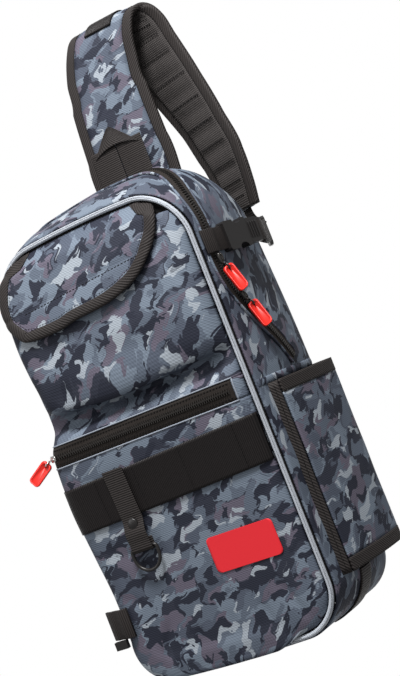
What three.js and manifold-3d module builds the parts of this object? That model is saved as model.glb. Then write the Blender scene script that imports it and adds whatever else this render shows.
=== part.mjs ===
// Fishing tackle sling bag: a soft upright body with pockets, one padded sling strap that loops over its
// back, a fastened side-release buckle, zippers with pulls, webbing and a D-ring.
// Millimetres, +Z up, the bag's front faces -Y. The origin is the point under the strap's crest where
// the bag hangs.
import * as THREE from 'three';
import { mergeVertices } from 'three/addons/utils/BufferGeometryUtils.js';
import Module from 'manifold-3d';

const wasm = await Module();
wasm.setup();

// Driving sizes of the bag's body
const bag = {
  width: 244,
  height: 474,
  depth: 150,
  topRadius: 55,
  bottomRadius: 46,
  topRise: 7,
  backRise: 12,
  topCrown: 20,
  leftFlat: 0.4,
  sideCrown: 6,
  bottomSag: 4.5,
  sway: 12,
  swayFade: 0.7,
  flare: 8,
};
const cloth = 2;
const clearance = 0.3;
const pipingRadius = 2.6;
const backPadThickness = 12;

// Front of the bag: how far the pockets stand out, and the heights of what is sewn on it
const pocketDepth = 18;
const zipperLine = {
  height: 258, tape: 22, tapeThickness: 1.2, tapeSunk: 1.4, coil: 7, coilThickness: 2.1, endBeforeSeam: 16,
};
const band = { drop: 58, width: 50, thickness: 1.8, tilt: 9, left: -119, right: 117 };
const label = { centre: 52, height: 107, width: 78, tall: 38, thickness: 0.8 };
const flap = {
  middle: -10, halfWidth: 105, bottom: 380, top: 467, tuck: 18, binding: 12, bindingThickness: 3.2,
};

// Webbing and hardware
const webbing = { width: 25, thickness: 1.8 };
const ring = { wire: 1.9, halfWidth: 15.6, shank: 9 };
const hangTab = { middle: -55, overBand: 1, barDrop: 61, strandEnd: 9 };
const snapCap = { radius: 6, thickness: 3.4, overBar: 27 };
const pull = { length: 30, width: 13, thickness: 4, rim: 2 };
const slider = { length: 11, width: 8, thickness: 4.5 };
const loopRing = { radius: 3.6, wire: 0.9 };

// Side of the bag
const sidePocket = {
  front: -49, back: 66, low: 44, high: 251, frontOut: 16, backOut: 34, binding: 14, bindingThickness: 3.2,
  corner: 5, floorLift: 2,
};
const sideTab = { height: 406, buckleStart: -33 };
const buckle = { length: 60, width: 31, thickness: 10, socket: 40, seat: 3.5 };
const seamBand = { height: 254.5, width: 7, thickness: 1 };

// Sling strap
const strap = { width: 100, thickness: 9, binding: 14, loop: 264, base: 440 };
const keeper = { width: 36, thickness: 1.8 };
const hangLoop = { legWidth: 34, gap: 1, bottom: 484, top: 566, tip: 588, front: 81, thickness: 2 };
const hangPoint = new THREE.Vector3(31, 119, 699);

// Heights that follow the pocket zipper: the webbing band under it, the tab over the band and its ring
const bandHeight = zipperLine.height - band.drop;
const hangTabTop = bandHeight + band.width / 2 + hangTab.overBand;
const ringHeight = bandHeight - hangTab.barDrop;
const snapHeight = ringHeight + snapCap.overBar;

// The seam stack at the bag's front and back edges: cloth, gap and piping outside the gusset
const seamStack = clearance + cloth + clearance + 2 * pipingRadius;
const gussetHalf = bag.depth / 2 - seamStack;
const pocketInset = 2 * pipingRadius + 3 * clearance;
const frontBase = gussetHalf + clearance + cloth;

// How far the front stands out at each height, as shares of the bag's height and of the pocket depth
const frontSections = [
  { up: 0.0, out: 0.15 },
  { up: 0.04, out: 0.4 },
  { up: 0.13, out: 0.5 },
  { up: 0.26, out: 0.6 },
  { up: 0.42, out: 0.82 },
  { up: 0.52, out: 1.0 },
  { up: 0.568, out: 0.95 },
  { up: 0.6, out: 0.45 },
  { up: 0.628, out: 0.3 },
  { up: 0.65, out: 0.85 },
  { up: 0.68, out: 1.25 },
  { up: 0.73, out: 1.35 },
  { up: 0.81, out: 1.2 },
  { up: 0.9, out: 0.8 },
  { up: 0.97, out: 0.35 },
  { up: 1.0, out: 0.1 },
];

// How far the left side is drawn in at each height, as shares of the bag's height and of its sway: out over
// the lower pocket, in at the crease above it
const leftSway = [
  { up: 0.0, in: 0.08 },
  { up: 0.095, in: 0.38 },
  { up: 0.2, in: 0.46 },
  { up: 0.3, in: 0.04 },
  { up: 0.4, in: -0.38 },
  { up: 0.455, in: -0.42 },
  { up: 0.517, in: -0.29 },
  { up: 0.555, in: -0.08 },
  { up: 0.58, in: 0.5 },
  { up: 0.6, in: 0.92 },
  { up: 0.643, in: 1.0 },
  { up: 0.686, in: 1.12 },
  { up: 0.73, in: 0.88 },
  { up: 0.79, in: 0.6 },
  { up: 0.855, in: 0.5 },
  { up: 0.905, in: 0.25 },
  { up: 0.95, in: 0.0 },
];

// How far the right side's back edge stands out beside its front edge, as shares of the height and the flare
const rightFlare = [
  { up: 0.0, out: 1.3 },
  { up: 0.1, out: 1.0 },
  { up: 0.58, out: 1.0 },
  { up: 0.82, out: 0.4 },
  { up: 0.9, out: 0.0 },
];

// The flap's edge, row by row: its height as a share of the flap's, its ends as shares of its half width
const flapRows = [
  { up: 0.0, left: -0.69, right: -0.33 },
  { up: 0.03, left: -0.81, right: -0.19 },
  { up: 0.07, left: -0.85, right: 0.27 },
  { up: 0.18, left: -0.92, right: 0.59 },
  { up: 0.29, left: -0.97, right: 0.73 },
  { up: 0.45, left: -0.977, right: 0.86 },
  { up: 0.62, left: -0.95, right: 0.96 },
  { up: 0.82, left: -0.886, right: 1.0 },
  { up: 0.93, left: -0.82, right: 0.96 },
  { up: 1.0, left: -0.63, right: 0.84 },
];

// The strap's middle line: shares of the bag's width and depth, of the loop's height over the strap's
// base, the turn of the strap's width about the vertical in degrees, and the share of its full width
const strapRoute = [
  { across: 0.016, back: 0.572, up: 0.0, turn: 3, width: 1.03 },
  { across: 0.016, back: 0.635, up: 0.2, turn: 8, width: 1.03 },
  { across: 0.02, back: 0.65, up: 0.45, turn: 10, width: 1.02 },
  { across: 0.027, back: 0.66, up: 0.68, turn: 10, width: 0.97 },
  { across: 0.041, back: 0.675, up: 0.815, turn: 8, width: 0.93 },
  { across: 0.07, back: 0.7, up: 0.925, turn: 5, width: 0.9 },
  { across: 0.1, back: 0.745, up: 0.988, turn: 3, width: 0.91 },
  { across: 0.131, back: 0.793, up: 1.003, turn: 2, width: 0.94 },
  { across: 0.164, back: 0.84, up: 0.986, turn: -2, width: 0.95 },
  { across: 0.197, back: 0.885, up: 0.93, turn: -7, width: 0.95 },
  { across: 0.23, back: 0.913, up: 0.833, turn: -15, width: 0.93 },
  { across: 0.301, back: 0.9, up: 0.625, turn: -24, width: 0.91 },
  { across: 0.37, back: 0.855, up: 0.42, turn: -29, width: 0.84 },
  { across: 0.415, back: 0.807, up: 0.24, turn: -30, width: 0.78 },
  { across: 0.428, back: 0.783, up: 0.09, turn: -30, width: 0.67 },
  { across: 0.43, back: 0.77, up: 0.0, turn: -30, width: 0.58 },
];

// The main zipper's middle line on the gusset: distance round the outline from the top's middle, as a
// share of the bag's height, and place across the gusset, as a share of its half depth
const mainZipRoute = [
  { along: -0.5, back: 0.1 },
  { along: -0.32, back: 0.0 },
  { along: -0.14, back: 0.05 },
  { along: 0.0, back: 0.1 },
  { along: 0.1, back: 0.02 },
  { along: 0.18, back: -0.32 },
  { along: 0.25, back: -0.68 },
  { along: 0.33, back: -0.78 },
  { along: 0.4, back: -0.8 },
  { along: 0.455, back: -0.7 },
  { along: 0.52, back: -0.4 },
  { along: 0.59, back: 0.02 },
  { along: 0.645, back: 0.3 },
];

// Colours of the pieces
const colours = {
  camo: 0x646c78, binding: 0x35322f, webbing: 0x2a2826, piping: 0xbfc5cc, red: 0xe8402c,
  plastic: 0x232222, metal: 0x8d8f92, mesh: 0x2c2a29,
};

const bagBody = new THREE.Group();

// Helpers for closed meshes

function linear(table, key, value, at) {
  if (value <= table[0][key]) return table[0][at];
  for (let i = 1; i < table.length; i++) {
    if (value <= table[i][key]) {
      const share = (value - table[i - 1][key]) / (table[i][key] - table[i - 1][key]);
      return THREE.MathUtils.lerp(table[i - 1][at], table[i][at], share);
    }
  }
  return table[table.length - 1][at];
}

function span(from, to, steps) {
  return Array.from({ length: steps + 1 }, (_, i) => from + ((to - from) * i) / steps);
}

function signedVolume(positions, index) {
  let sum = 0;
  const corner = (i) => new THREE.Vector3().fromArray(positions, 3 * index[i]);
  for (let i = 0; i < index.length; i += 3) {
    sum += corner(i).dot(corner(i + 1).cross(corner(i + 2)));
  }
  return sum;
}

function solid(points, index) {
  const positions = points.flatMap((p) => [p.x, p.y, p.z]);
  if (signedVolume(positions, index) < 0) index.reverse();
  const geometry = new THREE.BufferGeometry();
  geometry.setAttribute('position', new THREE.Float32BufferAttribute(positions, 3));
  geometry.setIndex(index);
  return geometry;
}

// A sheet between two grids of points; the columns may close into a ring
function sheetSolid(rows, columns, outer, inner, wraps = false) {
  const points = [];
  for (const side of [outer, inner]) {
    for (let i = 0; i < rows; i++) {
      for (let j = 0; j < columns; j++) points.push(side(i, j));
    }
  }
  const index = [];
  const at = (side, i, j) => (side * rows + i) * columns + (j % columns);
  const quad = (a, b, c, d) => index.push(a, b, c, a, c, d);
  const spans = wraps ? columns : columns - 1;
  for (let j = 0; j < spans; j++) {
    for (let i = 0; i < rows - 1; i++) {
      quad(at(0, i, j), at(0, i, j + 1), at(0, i + 1, j + 1), at(0, i + 1, j));
      quad(at(1, i, j), at(1, i + 1, j), at(1, i + 1, j + 1), at(1, i, j + 1));
    }
    quad(at(0, 0, j + 1), at(0, 0, j), at(1, 0, j), at(1, 0, j + 1));
    quad(at(0, rows - 1, j), at(0, rows - 1, j + 1), at(1, rows - 1, j + 1), at(1, rows - 1, j));
  }
  if (!wraps) {
    for (let i = 0; i < rows - 1; i++) {
      quad(at(0, i, 0), at(0, i + 1, 0), at(1, i + 1, 0), at(1, i, 0));
      quad(at(0, i + 1, spans), at(0, i, spans), at(1, i, spans), at(1, i + 1, spans));
    }
  }
  return solid(points, index);
}

// Sections of equal point counts joined into one body, capped at both ends or closed into a ring
function loft(sections, closed = false) {
  const count = sections[0].length;
  const points = sections.flat();
  const index = [];
  const spans = closed ? sections.length : sections.length - 1;
  for (let i = 0; i < spans; i++) {
    const a = i * count;
    const b = ((i + 1) % sections.length) * count;
    for (let k = 0; k < count; k++) {
      const next = (k + 1) % count;
      index.push(a + k, a + next, b + next, a + k, b + next, b + k);
    }
  }
  if (!closed) {
    const last = (sections.length - 1) * count;
    for (let k = 1; k < count - 1; k++) {
      index.push(0, k + 1, k);
      index.push(last, last + k, last + k + 1);
    }
  }
  return solid(points, index);
}

// A flat band along a path: each stop has a point, the direction of the width, a width and a thickness
function ribbon(stops) {
  const sections = stops.map((stop, i) => {
    const before = stops[Math.max(i - 1, 0)].point;
    const after = stops[Math.min(i + 1, stops.length - 1)].point;
    const tangent = after.clone().sub(before).normalize();
    const side = stop.side.clone().addScaledVector(tangent, -stop.side.dot(tangent)).normalize();
    const normal = new THREE.Vector3().crossVectors(side, tangent);
    const corner = (w, t) => stop.point.clone()
      .addScaledVector(side, (w * stop.width) / 2)
      .addScaledVector(normal, (t * stop.thickness) / 2);
    return [corner(-1, -1), corner(1, -1), corner(1, 1), corner(-1, 1)];
  });
  return loft(sections);
}

// A round bar along a closed or open path
function wire(path, radius, sides, closed) {
  const count = path.length;
  const sections = path.map((point, i) => {
    const before = closed ? path[(i + count - 1) % count] : path[Math.max(i - 1, 0)];
    const after = closed ? path[(i + 1) % count] : path[Math.min(i + 1, count - 1)];
    const tangent = after.clone().sub(before).normalize();
    const centre = path.reduce((sum, p) => sum.add(p), new THREE.Vector3()).divideScalar(count);
    const away = point.clone().sub(centre);
    away.addScaledVector(tangent, -away.dot(tangent)).normalize();
    const across = new THREE.Vector3().crossVectors(tangent, away);
    return Array.from({ length: sides }, (_, k) => {
      const angle = (2 * Math.PI * (k + 0.5)) / sides;
      return point.clone()
        .addScaledVector(away, radius * Math.cos(angle))
        .addScaledVector(across, radius * Math.sin(angle));
    });
  });
  return loft(sections, closed);
}

// Booleans
function toManifold(geometry) {
  const bare = geometry.clone();
  bare.deleteAttribute('normal');
  bare.deleteAttribute('uv');
  const merged = mergeVertices(bare, 1e-3);
  return new wasm.Manifold(new wasm.Mesh({
    numProp: 3,
    vertProperties: new Float32Array(merged.attributes.position.array),
    triVerts: new Uint32Array(merged.index.array),
  }));
}

function fromManifold(manifold) {
  const mesh = manifold.getMesh();
  const geometry = new THREE.BufferGeometry();
  geometry.setAttribute('position', new THREE.Float32BufferAttribute(mesh.vertProperties, 3));
  geometry.setIndex(Array.from(mesh.triVerts));
  return geometry;
}

function cut(geometry, ...tools) {
  return fromManifold(tools.reduce((body, tool) => body.subtract(toManifold(tool)), toManifold(geometry)));
}

function join(geometry, ...others) {
  return fromManifold(others.reduce((body, other) => body.add(toManifold(other)), toManifold(geometry)));
}

function box(lowCorner, highCorner) {
  const size = highCorner.clone().sub(lowCorner);
  const geometry = new THREE.BoxGeometry(size.x, size.y, size.z);
  geometry.translate(lowCorner.x + size.x / 2, lowCorner.y + size.y / 2, lowCorner.z + size.z / 2);
  return geometry;
}

function vec(x, y, z) {
  return new THREE.Vector3(x, y, z);
}

function addPiece(name, geometry, colour, roughness = 0.9, metalness = 0) {
  const mesh = new THREE.Mesh(geometry, new THREE.MeshStandardMaterial({ color: colour, roughness, metalness }));
  mesh.name = name;
  bagBody.add(mesh);
  return mesh;
}

// The bag's outline seen from the front

// Bends the plain rounded outline: the top rises in the middle and to the back, the bottom sags in the
// middle, the left side sways, and the right side stands out more at the back
function warp(x, z, depthShare) {
  const upper = THREE.MathUtils.clamp((z - bag.height + bag.topRadius) / bag.topRadius, 0, 1);
  const lower = THREE.MathUtils.clamp((bag.bottomRadius - z) / bag.bottomRadius, 0, 1);
  const acrossShare = x / (bag.width / 2);
  const rise = bag.topRise * (1 - acrossShare ** 2) + bag.backRise * depthShare;
  const sag = bag.bottomSag * (1 - acrossShare ** 2);
  const up = z / bag.height;
  const sway = linear(leftSway, 'up', up, 'in') * bag.sway * (1 - bag.swayFade * depthShare);
  const flare = linear(rightFlare, 'up', up, 'out') * bag.flare * depthShare;
  return {
    x: x + sway * Math.max(-acrossShare, 0) + flare * Math.max(acrossShare, 0),
    z: z + upper * rise - lower * sag,
  };
}

const arcSteps = 6;
const panelColumns = 7;
const topSteps = 5;
const bottomSteps = 3;

// Where the straight sides are divided, as shares from the lower corner up; closer round the crease
const sideShares = [0.16, 0.32, 0.46, 0.56, 0.62, 0.68, 0.74, 0.8, 0.9];
const sideSteps = sideShares.length + 1;

// Plain outline points with their outward normals, anticlockwise from the bottom's left end
function plainOutline(inset) {
  const points = [];
  const halfWidth = bag.width / 2;
  const corner = (cx, cz, radius, from) => {
    for (let i = 0; i <= arcSteps; i++) {
      const angle = ((from + (90 * i) / arcSteps) * Math.PI) / 180;
      const nx = Math.cos(angle);
      const nz = Math.sin(angle);
      points.push({ x: cx + (radius - inset) * nx, z: cz + (radius - inset) * nz, nx, nz });
    }
  };
  const straight = (shares, to) => {
    const from = points[points.length - 1];
    for (const share of shares) {
      points.push({
        x: THREE.MathUtils.lerp(from.x, to.x, share),
        z: THREE.MathUtils.lerp(from.z, to.z, share),
        nx: from.nx,
        nz: from.nz,
      });
    }
  };
  const low = bag.bottomRadius;
  const high = bag.height - bag.topRadius;
  corner(-halfWidth + low, low, low, 180);
  straight(span(0, 1, bottomSteps).slice(1, -1), { x: halfWidth - low, z: inset });
  corner(halfWidth - low, low, low, 270);
  straight(sideShares, { x: halfWidth - inset, z: high });
  corner(halfWidth - bag.topRadius, high, bag.topRadius, 0);
  straight(span(0, 1, topSteps).slice(1, -1), { x: -halfWidth + bag.topRadius, z: bag.height - inset });
  corner(-halfWidth + bag.topRadius, high, bag.topRadius, 90);
  straight(sideShares.map((share) => 1 - share).reverse(), { x: -halfWidth + inset, z: low });
  return points;
}

// How much the gusset bulges out between its two edges; the top does so less towards the left
function crown(plain, backShare) {
  const leftShare = Math.max(-plain.x / (bag.width / 2), 0);
  const top = plain.nz > 0 ? bag.topCrown * (1 - bag.leftFlat * leftShare) * plain.nz ** 2 : 0;
  return (bag.sideCrown * plain.nx ** 2 + top) * (1 - backShare ** 2);
}

function gussetPoint(plain, backShare) {
  const bent = warp(plain.x, plain.z, (backShare + 1) / 2);
  const out = crown(plain, backShare);
  return vec(bent.x + out * plain.nx, backShare * gussetHalf, bent.z + out * plain.nz);
}

// A point on the gusset at a distance round the outline from the top's middle, to the right if positive
function alongGusset(distance, y, offset) {
  const right = Math.abs(distance);
  const flat = bag.width / 2 - bag.topRadius;
  const topArc = (bag.topRadius * Math.PI) / 2;
  const sideLength = bag.height - bag.topRadius - bag.bottomRadius;
  const sideStart = flat + topArc;
  const lowStart = sideStart + sideLength;
  let plain;
  if (right < flat) {
    plain = { x: right, z: bag.height, nx: 0, nz: 1 };
  } else if (right < sideStart) {
    const angle = (right - flat) / bag.topRadius;
    const nx = Math.sin(angle);
    const nz = Math.cos(angle);
    plain = { x: flat + bag.topRadius * nx, z: bag.height - bag.topRadius * (1 - nz), nx, nz };
  } else if (right < lowStart) {
    plain = { x: bag.width / 2, z: bag.height - bag.topRadius - (right - sideStart), nx: 1, nz: 0 };
  } else {
    const angle = (right - lowStart) / bag.bottomRadius;
    const nx = Math.cos(angle);
    const nz = -Math.sin(angle);
    const cornerX = bag.width / 2 - bag.bottomRadius;
    plain = { x: cornerX + bag.bottomRadius * nx, z: bag.bottomRadius * (1 + nz), nx, nz };
  }
  const mirror = Math.sign(distance) || 1;
  plain = { x: mirror * plain.x, z: plain.z, nx: mirror * plain.nx, nz: plain.nz };
  return gussetPoint(plain, y / gussetHalf).add(vec(plain.nx * offset, 0, plain.nz * offset));
}

// The distance round the outline at which the gusset's side passes a height
function sideDistance(z) {
  return bag.width / 2 - bag.topRadius + (bag.topRadius * Math.PI) / 2 + bag.height - bag.topRadius - z;
}

// Half of the plain outline's width at a height
function halfWidthAt(z, inset) {
  const half = bag.width / 2 - inset;
  const arcCut = (radius, reach) => radius - Math.sqrt(Math.max(radius ** 2 - reach ** 2, 0));
  if (z < bag.bottomRadius) return half - arcCut(bag.bottomRadius - inset, bag.bottomRadius - z);
  const high = bag.height - bag.topRadius;
  if (z > high) return half - arcCut(bag.topRadius - inset, z - high);
  return half;
}

// Beside the left and lower seams the front cloth reaches over the piping: how far, how much more in the
// lower left corner, and where along the bottom this ends towards the right
const seamReach = { side: pocketInset + 2, corner: 4, fullUntil: 40, noneFrom: 75 };

// The least that the cloth stands out where it passes over the piping
const overSeam = bag.depth / 2 - frontBase + clearance;

// How a place of the front cloth moves outwards to reach over the seam
function reachOver(x, z) {
  const radius = bag.bottomRadius;
  const flat = bag.width / 2 - radius;
  const sideways = x - THREE.MathUtils.clamp(x, -flat, flat);
  const down = Math.min(z - radius, 0);
  const away = Math.hypot(sideways, down);
  if (away === 0) return { x: 0, z: 0, share: 0 };
  const here = 1 - THREE.MathUtils.smoothstep(x, seamReach.fullUntil, seamReach.noneFrom);
  const share = Math.min(away / (radius - pocketInset), 1) ** 2 * here;
  const cornerShare = (2 * Math.abs(sideways * down)) / away ** 2;
  const reach = share * (seamReach.side + seamReach.corner * cornerShare);
  return { x: (sideways / away) * reach, z: (down / away) * reach, share };
}

// How far the front cloth's outer face stands out at a place; fuller and squarer on the left
const frontEdge = { leftMore: 0.3, leftPower: 12, rightPower: 8 };

function frontBulge(x, z) {
  const out = linear(frontSections, 'up', z / bag.height, 'out') * pocketDepth;
  const share = Math.min(Math.abs(x) / halfWidthAt(z, pocketInset), 1);
  const more = x < 0 ? 1 + frontEdge.leftMore * share ** 2 : 1;
  const bulge = out * more * Math.sqrt(1 - share ** (x < 0 ? frontEdge.leftPower : frontEdge.rightPower));
  return Math.hypot(bulge, overSeam * THREE.MathUtils.smoothstep(reachOver(x, z).share, 0.1, 0.4));
}

// A place of the front on a layer that stands so far off the flat front panel
function frontPlace(x, z, standing) {
  const reach = reachOver(x, z);
  const bent = warp(x, z, 0);
  return vec(bent.x + reach.x, -(frontBase + clearance + standing), bent.z + reach.z);
}

function onFront(x, z, layer) {
  return frontPlace(x, z, cloth + frontBulge(x, z) + layer);
}

// Pieces of the body

function buildGusset() {
  const outer = plainOutline(0);
  const inner = plainOutline(cloth);
  const rows = 7;
  const share = (i) => (2 * i) / (rows - 1) - 1;
  const place = (list) => (i, j) => gussetPoint(list[j], share(i));
  addPiece('gusset', sheetSolid(rows, outer.length, place(outer), place(inner), true), colours.camo);
}

// The flat cloth behind the pockets, which fills the outline
function buildFrontPanel() {
  const outline = plainOutline(clearance);
  const rightStart = arcSteps + bottomSteps;
  const rowCount = 2 * arcSteps + sideSteps + 1;
  const total = outline.length;
  const place = (outside) => (i, j) => {
    const right = outline[(rightStart + i) % total];
    const left = outline[(arcSteps - i + total) % total];
    const bent = warp(THREE.MathUtils.lerp(left.x, right.x, j / (panelColumns - 1)), right.z, 0);
    return vec(bent.x, -(gussetHalf + clearance + (outside ? cloth : 0)), bent.z);
  };
  addPiece('front_panel', sheetSolid(rowCount, panelColumns, place(true), place(false)), colours.camo);
}

// Distance from a point of the panel to the plain outline
function edgeDistance(x, z) {
  const corner = (radius, fromEdge) => {
    const reachX = Math.abs(x) - (bag.width / 2 - radius);
    const reachZ = radius - fromEdge;
    return reachX > 0 && reachZ > 0 ? radius - Math.hypot(reachX, reachZ) : Infinity;
  };
  const low = corner(bag.bottomRadius, z);
  const high = corner(bag.topRadius, bag.height - z);
  return Math.min(bag.width / 2 - Math.abs(x), z, bag.height - z, low, high);
}

// The padded back: flat inside, thin under the piping and crowned over the rest
const backPad = { flatEdge: 9, slope: 40, columns: [0, 6, 20, 42] };

function buildBackPanel() {
  const outline = plainOutline(clearance);
  const rightStart = arcSteps + bottomSteps;
  const rowCount = 2 * arcSteps + sideSteps + 1;
  const total = outline.length;
  const offsets = backPad.columns;
  const place = (outside) => (i, j) => {
    const right = outline[(rightStart + i) % total];
    const left = outline[(arcSteps - i + total) % total];
    let x = (left.x + right.x) / 2;
    if (j < offsets.length) x = left.x + offsets[j];
    if (j > offsets.length) x = right.x - offsets[2 * offsets.length - j];
    const bent = warp(x, right.z, 1);
    const share = THREE.MathUtils.clamp((edgeDistance(x, right.z) - backPad.flatEdge) / backPad.slope, 0, 1);
    const pad = (backPadThickness - cloth) * Math.sin((share * Math.PI) / 2);
    return vec(bent.x, gussetHalf + clearance + (outside ? cloth + pad : 0), bent.z);
  };
  const columns = 2 * offsets.length + 1;
  addPiece('back_panel', sheetSolid(rowCount, columns, place(true), place(false)), colours.mesh);
}

function buildPiping(name, side) {
  const inset = pipingRadius;
  const depthShare = side < 0 ? 0 : 1;
  const y = side * (bag.depth / 2 - pipingRadius);
  const path = plainOutline(inset).map((p) => {
    const bent = warp(p.x, p.z, depthShare);
    return vec(bent.x, y, bent.z);
  });
  addPiece(name, wire(path, pipingRadius, 6, true), colours.piping, 0.5);
}

// Patches of cloth or webbing on the front share its rows and columns, so that their faces stay parallel
const frontStations = [0, 0.35, 0.6, 0.8, 0.92, 0.975];

function rowsBetween(low, high) {
  const between = frontSections.map((row) => row.up * bag.height).filter((z) => z > low + 2 && z < high - 2);
  return [low, ...between, high];
}

function columnsBetween(from, to) {
  const half = bag.width / 2 - pocketInset;
  const stations = [...frontStations.slice(1).reverse().map((share) => -share), ...frontStations];
  return [from, ...stations.map((share) => share * half).filter((x) => x > from + 1 && x < to - 1), to];
}

function frontPatch(low, high, from, to, near, thickness, tilt = 0) {
  const rows = rowsBetween(low, high);
  const columns = columnsBetween(from, to);
  const place = (layer) => (i, j) => {
    const z = rows[i] + (tilt * columns[j]) / bag.width;
    const half = halfWidthAt(z, pocketInset);
    return onFront(THREE.MathUtils.clamp(columns[j], -half, half), z, layer);
  };
  return sheetSolid(rows.length, columns.length, place(near + thickness), place(near));
}

// Pocket cloth from seam to seam, with its rows closer in the rounded corners
function pocketCloth(low, high) {
  const arcRows = (radius, from, sign) => [15, 30, 45, 60, 75].map((degrees) => (
    from + sign * radius * (1 - Math.cos((degrees * Math.PI) / 180))
  ));
  const corners = [
    ...arcRows(bag.bottomRadius, pocketInset, 1),
    ...arcRows(bag.topRadius, bag.height - pocketInset, -1),
  ];
  const rows = [...rowsBetween(low, high), ...corners.filter((z) => z > low && z < high)].sort((a, b) => a - b);
  const shares = [-1, ...frontStations.slice(1).reverse().map((share) => -share), ...frontStations, 1];
  const place = (layer) => (i, j) => onFront(shares[j] * halfWidthAt(rows[i], pocketInset), rows[i], layer);
  return sheetSolid(rows.length, shares.length, place(0), place(-cloth));
}

const zipLow = zipperLine.height - zipperLine.tape / 2;
const zipHigh = zipperLine.height + zipperLine.tape / 2;
const flapHeight = flap.top - flap.bottom;
const pocketHalf = bag.width / 2 - pocketInset;

function buildPockets() {
  addPiece('lower_pocket', pocketCloth(pocketInset, zipLow - clearance), colours.camo);
  addPiece('upper_pocket', pocketCloth(zipHigh + clearance, flap.top - flap.tuck), colours.camo);
}

function buildPocketZipper() {
  const { height, tapeThickness, tapeSunk, coil, coilThickness } = zipperLine;
  const end = bag.width / 2 - zipperLine.endBeforeSeam;
  const tape = frontPatch(zipLow, zipHigh, -pocketHalf, end, -tapeSunk, tapeThickness);
  addPiece('pocket_zip_tape', tape, colours.binding);
  const coilNear = tapeThickness - tapeSunk + clearance;
  const coilFrom = -pocketHalf + slider.length;
  const teeth = frontPatch(height - coil / 2, height + coil / 2, coilFrom, end - coil / 2, coilNear, coilThickness);
  addPiece('pocket_zip_coil', teeth, colours.plastic, 0.5);
  addPiece('pocket_zip_end', frontPatch(zipLow, zipHigh, end + clearance, pocketHalf, -cloth, cloth), colours.camo);
}

function buildBand() {
  const low = bandHeight - band.width / 2;
  const from = Math.max(band.left, -pocketHalf);
  const to = Math.min(band.right, pocketHalf);
  const geometry = frontPatch(low, low + band.width, from, to, 2 * clearance, band.thickness, band.tilt);
  addPiece('web_band', geometry, colours.webbing);
}

function buildLabel() {
  const from = label.centre - label.width / 2;
  const low = label.height - label.tall / 2;
  const geometry = frontPatch(low, low + label.tall, from, from + label.width, clearance, label.thickness);
  addPiece('front_label', geometry, colours.red, 0.6);
}

// The flap lies a little over the pocket cloth and over the left piping; its top is tucked into the seam
const flapLayer = cloth + 3 * clearance;
const flapOverLeft = { from: 70, to: 90 };

function flapPoint(x, z, layer) {
  const tucked = THREE.MathUtils.smoothstep(z, flap.top - flap.tuck, flap.top);
  const standing = (cloth + frontBulge(x, z) + flapLayer) * (1 - tucked);
  const overLeft = overSeam * THREE.MathUtils.smoothstep(-x, flapOverLeft.from, flapOverLeft.to);
  return frontPlace(x, z, Math.max(standing, overLeft) + layer);
}

// The flap's free edge from its top left corner round to its top right corner, and the same edge moved in
const flapEdge = [
  ...[...flapRows].reverse().map((row) => ({ row, end: 'left' })),
  ...flapRows.map((row) => ({ row, end: 'right' })),
].map(({ row, end }) => ({
  x: flap.middle + row[end] * flap.halfWidth,
  z: flap.bottom + row.up * flapHeight,
}));

function insetEdge(depth) {
  const last = flapEdge.length - 1;
  return flapEdge.map((point, i) => {
    if (i === 0 || i === last) return { x: point.x + (i === 0 ? depth : -depth), z: point.z };
    const before = flapEdge[i - 1];
    const after = flapEdge[i + 1];
    const length = Math.hypot(after.x - before.x, after.z - before.z);
    return {
      x: point.x - (depth * (after.z - before.z)) / length,
      z: point.z + (depth * (after.x - before.x)) / length,
    };
  });
}

function buildFlap() {
  const edge = insetEdge(flap.binding);
  const rows = flapRows.length;
  const shares = span(0, 1, 6);
  const place = (layer) => (i, j) => {
    const left = edge[rows - 1 - i];
    const right = edge[rows + i];
    const x = THREE.MathUtils.lerp(left.x, right.x, shares[j]);
    return flapPoint(x, THREE.MathUtils.lerp(left.z, right.z, shares[j]), layer);
  };
  addPiece('flap', sheetSolid(rows, shares.length, place(cloth), place(0)), colours.camo);
}

function buildFlapBinding() {
  const edges = [flapEdge, insetEdge(flap.binding - 2 * clearance)];
  const place = (layer) => (i, j) => flapPoint(edges[j][i].x, edges[j][i].z, layer);
  const geometry = sheetSolid(flapEdge.length, 2, place(flap.bindingThickness), place(0));
  addPiece('flap_binding', geometry, colours.binding);
}

// The webbing tab with its snap, and the ring in its end loop
const hangSurface = onFront(hangTab.middle, ringHeight + hangTab.strandEnd, clearance).y;
const barCentre = vec(hangTab.middle, hangSurface - webbing.thickness - ring.wire - 3 * clearance, ringHeight);

function buildHangTab() {
  const loopRadius = ring.wire + clearance * 2 + webbing.thickness / 2;
  const side = vec(1, 0, 0);
  const stop = (point) => ({ point, side, width: webbing.width, thickness: webbing.thickness });
  const front = (z, gap) => onFront(hangTab.middle, z, gap + webbing.thickness / 2).y;
  const bandTop = bandHeight + band.width / 2;
  const bandLayer = band.thickness + 2 * clearance;
  const stops = [];
  for (const z of span(hangTabTop, bandTop - band.width - 6, 4)) {
    stops.push(stop(vec(hangTab.middle, front(z, bandLayer + 2 * clearance), z)));
  }
  stops.push(stop(vec(hangTab.middle, barCentre.y - loopRadius, ringHeight + 2)));
  for (const degrees of [0, 36, 72, 108, 144, 180]) {
    const angle = (degrees * Math.PI) / 180;
    stops.push(stop(vec(
      hangTab.middle,
      barCentre.y - loopRadius * Math.cos(angle),
      ringHeight - loopRadius * Math.sin(angle),
    )));
  }
  stops.push(stop(vec(hangTab.middle, barCentre.y + loopRadius, ringHeight + hangTab.strandEnd)));
  addPiece('hang_tab', ribbon(stops), colours.webbing);
  const below = stops.findIndex(({ point }) => point.z < snapHeight);
  const upper = stops[below - 1].point;
  const lower = stops[below].point;
  const share = (upper.z - snapHeight) / (upper.z - lower.z);
  buildSnap(THREE.MathUtils.lerp(upper.y, lower.y, share), Math.atan2(upper.y - lower.y, upper.z - lower.z));
}

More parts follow.
